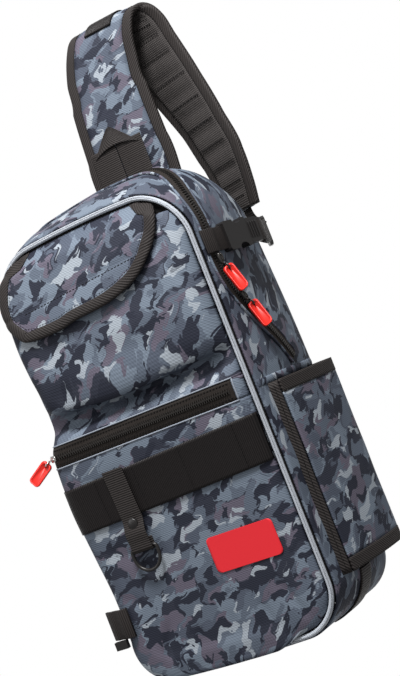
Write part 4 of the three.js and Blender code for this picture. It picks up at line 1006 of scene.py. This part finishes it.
def hang_tab_line():
    surface = on_front(HANG_TAB_X, RING_HEIGHT + 9, CLEARANCE).y
    bar = Vector((HANG_TAB_X, surface - WEBBING_THICKNESS - RING_WIRE - 3 * CLEARANCE, RING_HEIGHT))
    loop_radius = RING_WIRE + CLEARANCE * 2 + WEBBING_THICKNESS / 2
    layer = 3.3 + WEBBING_THICKNESS / 2
    points = [Vector((HANG_TAB_X, on_front(HANG_TAB_X, z, layer).y, z)) for z in span(226, 169, 6)]
    points.append(Vector((HANG_TAB_X, bar.y - loop_radius - 1.6, 156)))
    points.append(Vector((HANG_TAB_X, bar.y - loop_radius - 0.3, RING_HEIGHT + 6)))
    for angle in span(0, math.pi, 6):
        points.append(bar - loop_radius * Vector((0, math.cos(angle), math.sin(angle))))
    points.append(bar + Vector((0, loop_radius, 9)))
    return bar, points


SNAP_HEIGHT = 166

# The snap's dome: radius and height of each of its rings
SNAP_PROFILE = [
    (6.0, 0.0), (6.0, 1.2), (5.6, 1.9), (4.6, 2.5), (4.2, 2.5), (3.8, 2.9), (2.4, 3.3), (1.0, 3.45),
    (0.2, 3.5),
]


def build_hang_tab():
    bar, knots = hang_tab_line()
    points = smooth_path(knots, 90)
    ribbon("hang_tab_webbing", points, SIDEWARD)
    face = min(points[:60], key=lambda p: abs(p.z - SNAP_HEIGHT))
    seat = Vector((HANG_TAB_X, face.y - WEBBING_THICKNESS / 2 - 0.1, SNAP_HEIGHT))
    turn = full_turn(28)
    sections = []
    for r, h in SNAP_PROFILE:
        sections.append([seat + Vector((r * math.cos(a), -h, r * math.sin(a))) for a in turn])
    loft("snap_dome", sections, SNAP, "snap_cap")
    path = [Vector((x, 0, 0)) for x in span(-RING_HALF + 2.5, RING_HALF - 2.5, 8)]
    path += [Vector((RING_HALF - 0.8, 0, -0.8)), Vector((RING_HALF, 0, -2.5))]
    for angle in span(0, math.pi, 24):
        path.append(Vector((RING_HALF * math.cos(angle), 0, -RING_SHANK - RING_HALF * math.sin(angle))))
    path += [Vector((-RING_HALF, 0, -2.5)), Vector((-RING_HALF + 0.8, 0, -0.8))]
    ring = [Vector((HANG_TAB_X + p.x, bar.y, RING_HEIGHT + p.z)) for p in path]
    tube("d_ring_wire", ring, RING_WIRE, PLASTIC, closed=True, body="d_ring", sides=14)


# The main zipper

ZIP_POINTS = [Vector((along * HEIGHT, back * GUSSET_HALF, 0)) for along, back in MAIN_ZIP_ROUTE]
ZIP_LINE = [curve_point(ZIP_POINTS, share) for share in span(0, 1, 260)]
ZIP_LIFT = 1.3
MAIN_TAPE = 20
COIL_LIFT = 2.2
TEETH_LIFT = ZIP_LIFT + COIL_LIFT
MAIN_TOOTH = (1.2, 4.6, 2.4)
MAIN_PITCH = 1.35
TOOTH_SHIFT = 1.3
WELT_OFFSET = 9.2
WELT_RADIUS = 1.5


def gusset_strip(name, line, width, near, thickness, look, columns=12, crown_up=0.0):
    """A strip that lies on the gusset along a line of (distance round, place across)."""
    ways = tangents(line)
    lengths = path_lengths(line)

    def place(i, share):
        side = share * width
        s = line[i].x - side * ways[i].y
        y = clamp(line[i].y + side * ways[i].x, -GUSSET_HALF, GUSSET_HALF)
        return along_gusset(s, y, near + thickness + crown_up * (1 - (2 * share) ** 2))

    def flat(i, share):
        return share * width, lengths[i]

    rows = list(range(len(line)))
    sheet(name, rows, span(-0.5, 0.5, columns), place, flat, look, thickness)


def zip_place(height):
    distance = side_distance(height)
    for a, b in zip(ZIP_LINE, ZIP_LINE[1:]):
        if b.x >= distance:
            return distance, mix(a.y, b.y, (distance - a.x) / (b.x - a.x))
    return distance, ZIP_LINE[-1].y


def build_main_zip():
    gusset_strip("main_zip_tape_strip", ZIP_LINE, MAIN_TAPE, ZIP_LIFT - 0.3, TAPE_THICKNESS, ZIP_CLOTH)
    ways = tangents(ZIP_LINE)
    for name, shift in (("front", -WELT_OFFSET), ("back", WELT_OFFSET)):
        points = []
        for point, way in zip(ZIP_LINE, ways):
            y = clamp(point.y + shift * way.x, -GUSSET_HALF + 1, GUSSET_HALF - 1)
            points.append(along_gusset(point.x - shift * way.y, y, ZIP_LIFT + WELT_RADIUS))
        tube(f"main_zip_welt_{name}", points, WELT_RADIUS, CAMO, "", sides=8)
    teeth = []
    shift = TOOTH_SHIFT
    for _, at, way in marks(ZIP_LINE, 4.0, MAIN_PITCH):
        spot = along_gusset(at.x - shift * way.y, at.y + shift * way.x, TEETH_LIFT)
        ahead = along_gusset(at.x + way.x, at.y + way.y, TEETH_LIFT)
        here = along_gusset(at.x, at.y, TEETH_LIFT)
        out = (along_gusset(at.x, at.y, 4) - along_gusset(at.x, at.y, 0)).normalized()
        along = square_to((ahead - here).normalized(), out)
        teeth.append(basis(along, out.cross(along), out, spot))
        shift = -shift
    boxes("main_zip_teeth", teeth, MAIN_TOOTH, TEETH, "main_zip_coil")


PULL_LENGTH = 30
PULL_WIDTH = 13
PULL_RIM = 2
RING_RADIUS = 3.6
RING_BAR = 0.9
EYE_SLACK = 1.6
SLIDER_WIDTH = 8
SLIDER_THICKNESS = 4.5
MAIN_SLIDERS = (("main_upper", 386), ("main_lower", 343))


def slider_body(name, matrix, size, metal):
    """A tapered block with rounded edges, its middle at the matrix; its length lies along the matrix's Y."""
    width, length, thickness = size
    sections = []
    for share in (0.0, 0.06, 0.2, 0.5, 0.8, 0.94, 1.0):
        full = smoothstep(min(share, 1 - share) / 0.2)
        across = width * (0.65 + 0.35 * full) * mix(1, 0.8, share)
        tall = thickness * (0.8 + 0.2 * full)
        y = (share - 0.5) * length
        sections.append([matrix @ Vector((a, y, o)) for a, o in rounded(across, tall, 0.9)])
    loft(f"{name}_slider_body", sections, metal)


# The pull's rim on one face: distance in from its outline, and height over the pull's middle plane
PULL_RIM_SECTION = [(0.0, 1.0), (0.5, 1.8), (1.2, 2.0), (1.2, 2.0), (1.8, 1.5)]


def build_pull(name, matrix):
    """A soft pull with a raised rim round a bare face; its length hangs down the matrix's -Z, its face looks
    along Y."""
    half = PULL_WIDTH / 2
    middle = -PULL_LENGTH / 2
    edge = PULL_WIDTH * 0.3
    top, bottom = -edge, -PULL_LENGTH + edge
    corners = ((half - edge, top), (-half + edge, top), (-half + edge, bottom), (half - edge, bottom))
    outline_points = []
    for index, (cx, cz) in enumerate(corners):
        for i in range(6):
            angle = math.radians(90 * index + 18 * i)
            outline_points.append((cx + edge * math.cos(angle), cz + edge * math.sin(angle)))
    eye = RING_BAR + CLEARANCE
    eye_middle = -PULL_RIM - eye - EYE_SLACK / 2
    hole = []
    for x, z in outline_points:
        angle = math.atan2(z - eye_middle, x)
        hole.append((eye * 1.1 * math.cos(angle), eye_middle + (eye + EYE_SLACK / 2) * math.sin(angle)))

    def ring(inset, out):
        across, along = (half - inset) / half, (middle + inset) / middle
        return [matrix @ Vector((x * across, out, middle + (z - middle) * along)) for x, z in outline_points]

    inner = PULL_RIM_SECTION[-1][1]
    rings = [ring(inset, -out) for inset, out in PULL_RIM_SECTION]
    rings += [[matrix @ Vector((x, out, z)) for x, z in hole] for out in (-inner, inner)]
    rings += [ring(inset, out) for inset, out in reversed(PULL_RIM_SECTION)]
    loft(f"{name}_pull_tag", rings, RED, closed=True)


def build_slider(name, seat, out, along, hang, face, metal):
    across = along.cross(out).normalized()
    lengthways = out.cross(across).normalized()
    down = hang.normalized()
    flat = square_to(face, down)
    wide = down.cross(flat).normalized()
    body = basis(across, lengthways, out, seat + out * (SLIDER_THICKNESS * 0.36))
    slider_body(name, body, (SLIDER_WIDTH, SLIDER_LENGTH, SLIDER_THICKNESS * 0.72), metal)
    top = seat + out * (SLIDER_THICKNESS * 0.7)
    arch = [top + lengthways * (4.2 * math.cos(a)) + out * (1.2 * math.sin(a)) for a in span(0, math.pi, 10)]
    tube(f"{name}_slider_bridge", arch, 0.75, metal, "", sides=8)
    sign = 1 if lengthways.dot(down) >= 0 else -1
    centre = (
        seat + out * (SLIDER_THICKNESS - 1) + lengthways * (sign * SLIDER_LENGTH / 2)
        + down * (RING_RADIUS + RING_BAR + 2 * CLEARANCE)
    )
    loop = [centre + (down * math.cos(a) + flat * math.sin(a)) * RING_RADIUS for a in full_turn(28)]
    tube(f"{name}_ring_wire", loop, RING_BAR, metal, closed=True, sides=8)
    eye_depth = PULL_RIM + RING_BAR + CLEARANCE + EYE_SLACK
    place = basis(wide, flat, -down, centre + down * (RING_RADIUS - eye_depth))
    build_pull(name, place)


def build_sliders():
    layer = ZIP_LIFT + 4 * CLEARANCE + TAPE_THICKNESS + COIL_LIFT
    for name, height in MAIN_SLIDERS:
        s, y = zip_place(height)
        s_low, y_low = zip_place(height - 4)
        seat = along_gusset(s, y, layer)
        out = (along_gusset(s, y, layer + 1) - seat).normalized()
        along = (along_gusset(s_low, y_low, layer) - seat).normalized()
        build_slider(name, seat, out, along, Vector((0.2, 0.3, -1)), Vector((0.75, -0.65, 0)), METAL)
    end = -half_width(ZIP_HEIGHT, POCKET_INSET) + SLIDER_LENGTH / 2
    seat = on_front(end, ZIP_HEIGHT, 0)
    out = Vector((-0.55, -0.83, 0)).normalized()
    along, hang, face = Vector((0.83, -0.55, 0)), Vector((-0.83, -0.1, -0.5)), Vector((0.47, -0.85, 0.2))
    build_slider("pocket", seat, out, along, hang, face, SILVER)


# The right side

SIDE_FRONT = -49
SIDE_FRONT_OUT = 16
SIDE_BACK_OUT = 34
SIDE_BACK = 66
SIDE_LOW = 44
SIDE_HIGH = 251
SIDE_BINDING = 14
SIDE_TAPE = 3.2
SIDE_CORNER = 5
SEAM_BAND_HEIGHT = 254.5
SEAM_BAND_WIDTH = 7


def side_wall():
    front_x, back_x = WIDTH / 2 + SIDE_FRONT_OUT, WIDTH / 2 + SIDE_BACK_OUT
    start, end = SIDE_FRONT + SIDE_TAPE, SIDE_BACK - SIDE_CORNER
    knots = [(mix(front_x, back_x, math.sin(s * math.pi / 2)), mix(start, end, s)) for s in span(0, 1, 5)]
    knots += [
        (back_x - SIDE_CORNER * 0.4, SIDE_BACK - SIDE_CORNER * 0.2), (back_x - SIDE_CORNER, SIDE_BACK),
        (side_x(SIDE_BACK) + CLOTH / 2 + CLEARANCE, SIDE_BACK),
    ]
    return smooth_path([Vector((x, y, 0)) for x, y in knots], 60)


def upright_band(name, wall, low, high, thickness, look, rows, sag=0.0):
    """An upright strip over a line on the base."""
    lengths = path_lengths(wall)
    ways = tangents(wall)

    def place(z, j):
        out = Vector((ways[j].y, -ways[j].x, 0))
        share = (z - SIDE_LOW) / (SIDE_HIGH - SIDE_LOW)
        wave = noise.noise(Vector((j * 0.12, z * 0.02, 4))) * sag
        return wall[j] + out * (thickness / 2 + wave * math.sin(math.pi * clamp(share))) + Vector((0, 0, z))

    def flat(z, j):
        return (lengths[j] - 900, z) if look is CAMO else (z, lengths[j])

    sheet(name, span(low, high, rows), list(range(len(wall))), place, flat, look, thickness)


def build_side_pocket():
    wall = side_wall()
    low_edge, high_edge = SIDE_LOW + SIDE_BINDING, SIDE_HIGH - SIDE_BINDING
    upright_band("side_pocket_cloth", wall, low_edge - 1, high_edge + 1, CLOTH, CAMO, 40, 1.6)
    upright_band("side_pocket_top_tape", wall, high_edge, SIDE_HIGH, SIDE_TAPE, BINDING, 6)
    upright_band("side_pocket_low_tape", wall, SIDE_LOW, low_edge, SIDE_TAPE, BINDING, 6)
    start = Vector((side_x(SIDE_FRONT - 1) + 2 * CLEARANCE, SIDE_FRONT - 1, 0))
    end_y = SIDE_FRONT + SIDE_TAPE - CLOTH / 2 - 2 * CLEARANCE
    end = Vector((WIDTH / 2 + SIDE_FRONT_OUT - CLOTH / 2, end_y, 0))
    strip = [start.lerp(end, share) for share in span(0, 1, 8)]
    upright_band("side_pocket_front_tape", strip, SIDE_LOW, SIDE_HIGH - CLEARANCE, CLOTH, BINDING, 30)
    points = [start.lerp(end, 0.6) + Vector((0, -1.1, z)) for z in span(SIDE_LOW + 2, SIDE_HIGH - 3, 60)]
    stitches("side_pocket_front_stitch", points)
    dress_node("side_pocket_floor", LINING)
    s = side_distance(SEAM_BAND_HEIGHT)
    line = [Vector((s, y, 0)) for y in span(-GUSSET_HALF + 1, GUSSET_HALF - 1, 40)]
    gusset_strip("seam_band_fold", line, SEAM_BAND_WIDTH, 0.2, 1.0, CAMO, 8, 0.8)


BUCKLE_X = 134
BUCKLE_TILT = 0.2
BUCKLE_START = -33
BUCKLE_HEIGHT = 406
BUCKLE_LENGTH = 60
BUCKLE_SEAT = 3.5
RIB_ENDS = (43.5, 56.5)
RIB_OUT = 5.2
RIB_SIZE = (1.8, 21, 1.4)
LOCK = Vector((125, 103, 407))
LOCK_TURN = math.radians(28)
LOCK_LENGTH = 26

# The webbing between buckle and lock: share of the way, and how far it bows out and rises there
LOCK_BOW = ((0.55, 3, -3), (0.8, 6, -1.5), (0.92, 8, -0.3))


def on_buckle_line(y, out=0.0):
    return Vector((BUCKLE_X + BUCKLE_TILT * (y - BUCKLE_START) + out, y, BUCKLE_HEIGHT))


def lock_end(sign):
    reach = sign * (LOCK_LENGTH / 2 + 3 * CLEARANCE)
    return LOCK + Vector((-reach * math.sin(LOCK_TURN), reach * math.cos(LOCK_TURN), 0))


def build_buckle():
    seam_x = WIDTH / 2 + ZIP_LIFT + TAPE_THICKNESS + WEBBING_THICKNESS / 2 + 2 * CLEARANCE
    tab = [(seam_x, -GUSSET_HALF + 1), (seam_x + 3.2, -GUSSET_HALF + 6), (BUCKLE_X - 1.5, -GUSSET_HALF + 14)]
    tab = [Vector((x, y, BUCKLE_HEIGHT)) for x, y in tab]
    tab += [on_buckle_line(BUCKLE_START - 12), on_buckle_line(BUCKLE_START + BUCKLE_SEAT)]
    ribbon("side_tab_webbing", smooth_path(tab, 24), UPWARD)
    end = BUCKLE_START + BUCKLE_LENGTH
    knots = [on_buckle_line(end - BUCKLE_SEAT), on_buckle_line(end + 3 * BUCKLE_SEAT)]
    for share, out, rise in LOCK_BOW:
        bow = Vector(((1 - share) * out, 0, rise))
        knots.append(on_buckle_line(end, out).lerp(lock_end(-1), share) + bow)
    knots.append(lock_end(-1))
    ribbon("lock_webbing_strip", smooth_path(knots, 40), UPWARD)
    for node in ("buckle_socket", "buckle_plug", "ladder_lock", "corner_buckle"):
        dress_node(node, PLASTIC[0], 0.7)
    tilt = math.atan(BUCKLE_TILT)
    along = Vector((math.sin(tilt), math.cos(tilt), 0))
    out = Vector((math.cos(tilt), -math.sin(tilt), 0))
    ribs = []
    for reach in span(*RIB_ENDS, 3):
        point = on_buckle_line(BUCKLE_START) + along * reach + out * RIB_OUT
        ribs.append(basis(along, UPWARD, out, point))
    boxes("buckle_plug_ribs", ribs, RIB_SIZE, PLASTIC)


CORNER_HEIGHT = 68
CORNER_WIDTH = 32
CORNER_THICKNESS = 3.4
CORNER_OUT = 15


def build_corner():
    start = side_distance(SIDE_LOW - 3)
    line = [Vector((s, -6, 0)) for s in span(start, start + 62, 30)]
    gusset_strip("corner_web_strip", line, WEBBING, CLEARANCE, WEBBING_THICKNESS, WEB_ACROSS)
    seat = on_front(-WIDTH / 2 + 16, CORNER_HEIGHT, CLEARANCE + CORNER_THICKNESS / 2)
    seam = -WIDTH / 2
    front = -DEPTH / 2 - CORNER_THICKNESS
    knots = [(seam + 8, min(front, seat.y) - 1), (seam - 2, front - 2.5)]
    knots += [(seam - CORNER_OUT * 0.55, front - 1), (seam - CORNER_OUT, front + 3)]
    points = [seat] + [Vector((x, y, CORNER_HEIGHT)) for x, y in knots]
    ribbon("corner_tab_webbing", smooth_path(points, 30), UPWARD, CORNER_WIDTH, CORNER_THICKNESS)


# The sling strap and the hang loop

def strap_stop(share):
    points = [Vector((r[0] * WIDTH, r[1] * DEPTH, STRAP_BASE + r[2] * STRAP_LOOP)) for r in STRAP_ROUTE]
    turns = [Vector((r[3], r[4], 0)) for r in STRAP_ROUTE]
    point = curve_point(points, share)
    ahead, behind = curve_point(points, min(share + 0.002, 1)), curve_point(points, max(share - 0.002, 0))
    tangent = (ahead - behind).normalized()
    extra = curve_point(turns, share)
    angle = math.radians(extra.x)
    side = Vector((math.cos(angle), math.sin(angle), 0))
    return point, side, side.cross(tangent).normalized(), extra.y * STRAP_WIDTH / 2


STRAP_STOPS = [strap_stop(share) for share in span(0, 1, 180)]
STRAP_HALF = STRAP_THICKNESS / 2
STRAP_LENGTHS = path_lengths([stop[0] for stop in STRAP_STOPS])


def strap_loft(name, section, look, low=0.0, high=1.0):
    """A piece along the strap; section gives (across, out) pairs for a half width and a length along it."""
    sections = []
    lengths = []
    for share, stop, length in zip(span(0, 1, len(STRAP_STOPS) - 1), STRAP_STOPS, STRAP_LENGTHS):
        if low <= share <= high:
            point, side, normal, half = stop
            sections.append([point + side * a + normal * o for a, o in section(half, length)])
            lengths.append(length)
    return loft(name, sections, look, lengths=lengths)


LINING_FOLD = 27.0
LINING_THICKNESS = 3.0
KEEPER_WIDTH = 36
KEEPER_ENDS = (0.37, 0.585)


def build_strap():
    def pad_section(half, _):
        inner = half - STRAP_BINDING + 1.5
        top = [(inner * s, STRAP_HALF + 1.6 * (1 - s**4) - 0.9) for s in span(-1, 1, 12)]
        return top + [(inner, -1.0), (-inner, -1.0)]

    def lining_section(half, length):
        inner = half - STRAP_BINDING + 1.5
        fold = 2.4 * abs(math.sin(math.pi * length / LINING_FOLD)) ** 0.6 - 0.9
        under = [(inner * s, -STRAP_HALF + 1.2 - fold * (1 - s**6)) for s in span(1, -1, 12)]
        upper = -STRAP_HALF + LINING_THICKNESS
        return [(-inner, upper), (inner, upper)] + under

    for index, (point, side, normal, half) in enumerate(STRAP_STOPS[4:-6:7]):
        reach = half - STRAP_BINDING
        line = [point + side * (reach * s) + normal * (-STRAP_HALF - 0.8) for s in span(-0.94, 0.94, 20)]
        stitches(f"strap_lining_stitch_{index}", line, -normal, size=0.9)
    pad = strap_loft("strap_pad_cloth", pad_section, CAMO)
    strap_loft("strap_lining_mesh", lining_section, MESH)
    for name, sign in (("left", -1), ("right", 1)):
        def binding_section(half, _, sign=sign):
            middle = sign * (half - STRAP_BINDING / 2)
            return [(middle + a, o) for a, o in rounded(STRAP_BINDING, 7.4, 3.2, 4)]

        strap_loft(f"strap_binding_{name}_tape", binding_section, BINDING)
        for face, out in (("outer", 3.8), ("inner", -3.8)):
            points = []
            normals = []
            for point, side, normal, half in STRAP_STOPS[2:-2]:
                points.append(point + side * (sign * (half - STRAP_BINDING + 2.2)) + normal * out)
                normals.append(normal * (1 if out > 0 else -1))
            stitches(f"strap_stitch_{name}_{face}", points, normals, size=0.6)

    def keeper_section(*_):
        return [(a, STRAP_HALF + 2 + o) for a, o in rounded(KEEPER_WIDTH, WEBBING_THICKNESS, WEB_EDGE)]

    strap_loft("strap_keeper_band", keeper_section, WEB_BAND, *KEEPER_ENDS)
    point, side, _, _ = STRAP_STOPS[-1]
    tangent = (point - STRAP_STOPS[-3][0]).normalized()
    away = (lock_end(1) - lock_end(-1)).normalized()
    goal = lock_end(1) + away * (6 * CLEARANCE)
    start = point + tangent * (3 * CLEARANCE)
    a, b = start + tangent * 16, goal + away * 16
    points, sides = [], []
    for t in span(0, 1, 24):
        u = 1 - t
        points.append(start * u**3 + a * (3 * t * u**2) + b * (3 * t * t * u) + goal * t**3)
        sides.append(side.lerp(UPWARD, smoothstep((t - 0.1) / 0.7)))
    ribbon("strap_tail_webbing", points, sides)
    return pad


LOOP_LEG = 34
LOOP_GAP = 1
LOOP_THICKNESS = 2
LOOP_BOTTOM = 484
LOOP_TOP = 566
LOOP_TIP = 588
LOOP_BACK = 81


def build_hang_loop():
    half = (LOOP_LEG + LOOP_GAP) / 2
    for name, sign in (("left", -1), ("right", 1)):
        knots = [
            (DEPTH / 2 + LOOP_THICKNESS / 2 + CLEARANCE, LOOP_BOTTOM), (LOOP_BACK - 1, LOOP_BOTTOM + 28),
            (LOOP_BACK, (LOOP_BOTTOM + LOOP_TOP) / 2 + 8), (LOOP_BACK + 1, LOOP_TOP),
        ]
        points = smooth_path([Vector((sign * half, y, z)) for y, z in knots], 30)
        ribbon(f"hang_loop_{name}_webbing", points, SIDEWARD, LOOP_LEG, LOOP_THICKNESS)
    reach = half + LOOP_LEG / 2 - 4

    def place(up, share):
        across = share * reach * (1 - up) ** 0.85
        full = (1 - up) * (1 - share * share)
        height = mix(LOOP_TOP - 8, LOOP_TIP, up) + 7 * full
        return Vector((across, LOOP_BACK - 0.6 - 2.2 * full - 0.8 * up, height))

    def flat(up, share):
        return share * reach, up * 24

    sheet("hang_loop_tip_fold", span(0, 0.97, 14), span(-1, 1, 24), place, flat, BINDING, 1.6)


def build_back_panel():
    def edge_distance(x, z):
        def corner(radius, from_edge):
            reach_x = abs(x) - (WIDTH / 2 - radius)
            reach_z = radius - from_edge
            return radius - math.hypot(reach_x, reach_z) if reach_x > 0 and reach_z > 0 else math.inf

        corners = corner(BOTTOM_RADIUS, z), corner(TOP_RADIUS, HEIGHT - z)
        return min(WIDTH / 2 - abs(x), z, HEIGHT - z, *corners)

    def place(z, share):
        x = share * half_width(z, CLEARANCE)
        bent_x, bent_z = warp(x, z, 1)
        pad = (BACK_PAD - CLOTH) * math.sin(clamp((edge_distance(x, z) - 9) / 40) * math.pi / 2)
        return Vector((bent_x, GUSSET_HALF + CLEARANCE + CLOTH + pad, bent_z))

    def flat(z, share):
        return share * WIDTH / 2, z

    heights = [HEIGHT / 2 - (HEIGHT / 2 - CLEARANCE) * math.cos(math.pi * s) for s in span(0, 1, 90)]
    stations = [math.sin(math.pi / 2 * s) for s in span(-1, 1, 70)]
    return sheet("back_panel_pad", heights, stations, place, flat, MESH, CLOTH, flip=True)


build_gusset()
back_pad = build_back_panel()
dress_node("front_panel", LINING)
build_piping(-1, "front_piping")
build_piping(1, "back_piping")
build_front()
build_band()
build_label()
flap_cloth = build_flap()
build_hang_tab()
build_main_zip()
build_sliders()
build_side_pocket()
build_buckle()
build_corner()
strap_pad = build_strap()
build_hang_loop()


# Camera and light

AZIMUTH = math.radians(28)
CAMERA_DISTANCE = 1500
CAMERA_HEIGHT = 272
FOCAL_PIXELS = 1383
PHOTO_HEIGHT = 676
SHIFT_RIGHT = 0.0303
SHIFT_UP = 0.0333
ROLL = math.radians(21.5)

forward = Vector((-math.sin(AZIMUTH), math.cos(AZIMUTH), 0))
right = Vector((math.cos(AZIMUTH), math.sin(AZIMUTH), 0))
camera_data = bpy.data.cameras.new("photo_camera")
camera_data.lens = 36 * FOCAL_PIXELS / PHOTO_HEIGHT
camera_data.sensor_width = 36
camera_data.clip_end = 20
camera = bpy.data.objects.new("photo_camera", camera_data)
bpy.context.scene.collection.objects.link(camera)
bpy.context.scene.camera = camera
eye = row(forward * -CAMERA_DISTANCE + UPWARD * CAMERA_HEIGHT)
look = (forward + right * SHIFT_RIGHT + UPWARD * SHIFT_UP).normalized()
camera_up = UPWARD * math.cos(ROLL) + right * math.sin(ROLL)
camera_right = look.cross(camera_up).normalized()
camera.matrix_world = basis(camera_right, camera_right.cross(look), -look, eye)

# A white backdrop all round, whose light on the bag is dimmer except from behind
BACKDROP_EDGES = (0.6, 0.85)
ROOM_LIGHT = 0.42


def build_world():
    world = bpy.data.worlds.new("studio")
    world.use_nodes = True
    tree = world.node_tree
    way = add_node(tree, "ShaderNodeTexCoord").outputs["Generated"]
    ahead = add_node(tree, "ShaderNodeVectorMath", {"operation": "DOT_PRODUCT"}, {0: way, 1: tuple(forward)})
    inputs = {"Value": ahead.outputs["Value"], "From Min": BACKDROP_EDGES[0], "From Max": BACKDROP_EDGES[1],
              "To Min": ROOM_LIGHT, "To Max": 1.0}
    light = add_node(tree, "ShaderNodeMapRange", None, inputs).outputs[0]
    seen = add_node(tree, "ShaderNodeLightPath").outputs["Is Camera Ray"]
    tree.links.new(maths(tree, "MAXIMUM", light, seen), tree.nodes["Background"].inputs["Strength"])
    tree.nodes["Background"].inputs["Color"].default_value = (1, 1, 1, 1)
    bpy.context.scene.world = world


build_world()
bpy.context.scene.view_settings.view_transform = "Standard"


def area_light(name, place, aim, size, power):
    data = bpy.data.lights.new(name, "AREA")
    data.size = size
    data.energy = power
    light = bpy.data.objects.new(name, data)
    bpy.context.scene.collection.objects.link(light)
    light.location = place
    light.rotation_euler = (aim - place).to_track_quat("-Z", "Y").to_euler()


# A small key light from above and the right, and a broad weak fill from the left, in metres and watts
KEY_PLACE, KEY_SIZE, KEY_POWER = Vector((0.45, -0.8, 1.55)), 0.45, 62
FILL_PLACE, FILL_SIZE, FILL_POWER = Vector((-1.2, -1.3, 0.7)), 1.2, 10
middle = row((0, 0, 300))
area_light("key", middle + KEY_PLACE, middle + UPWARD * 0.1, KEY_SIZE, KEY_POWER)
area_light("fill", middle + FILL_PLACE, middle, FILL_SIZE, FILL_POWER)
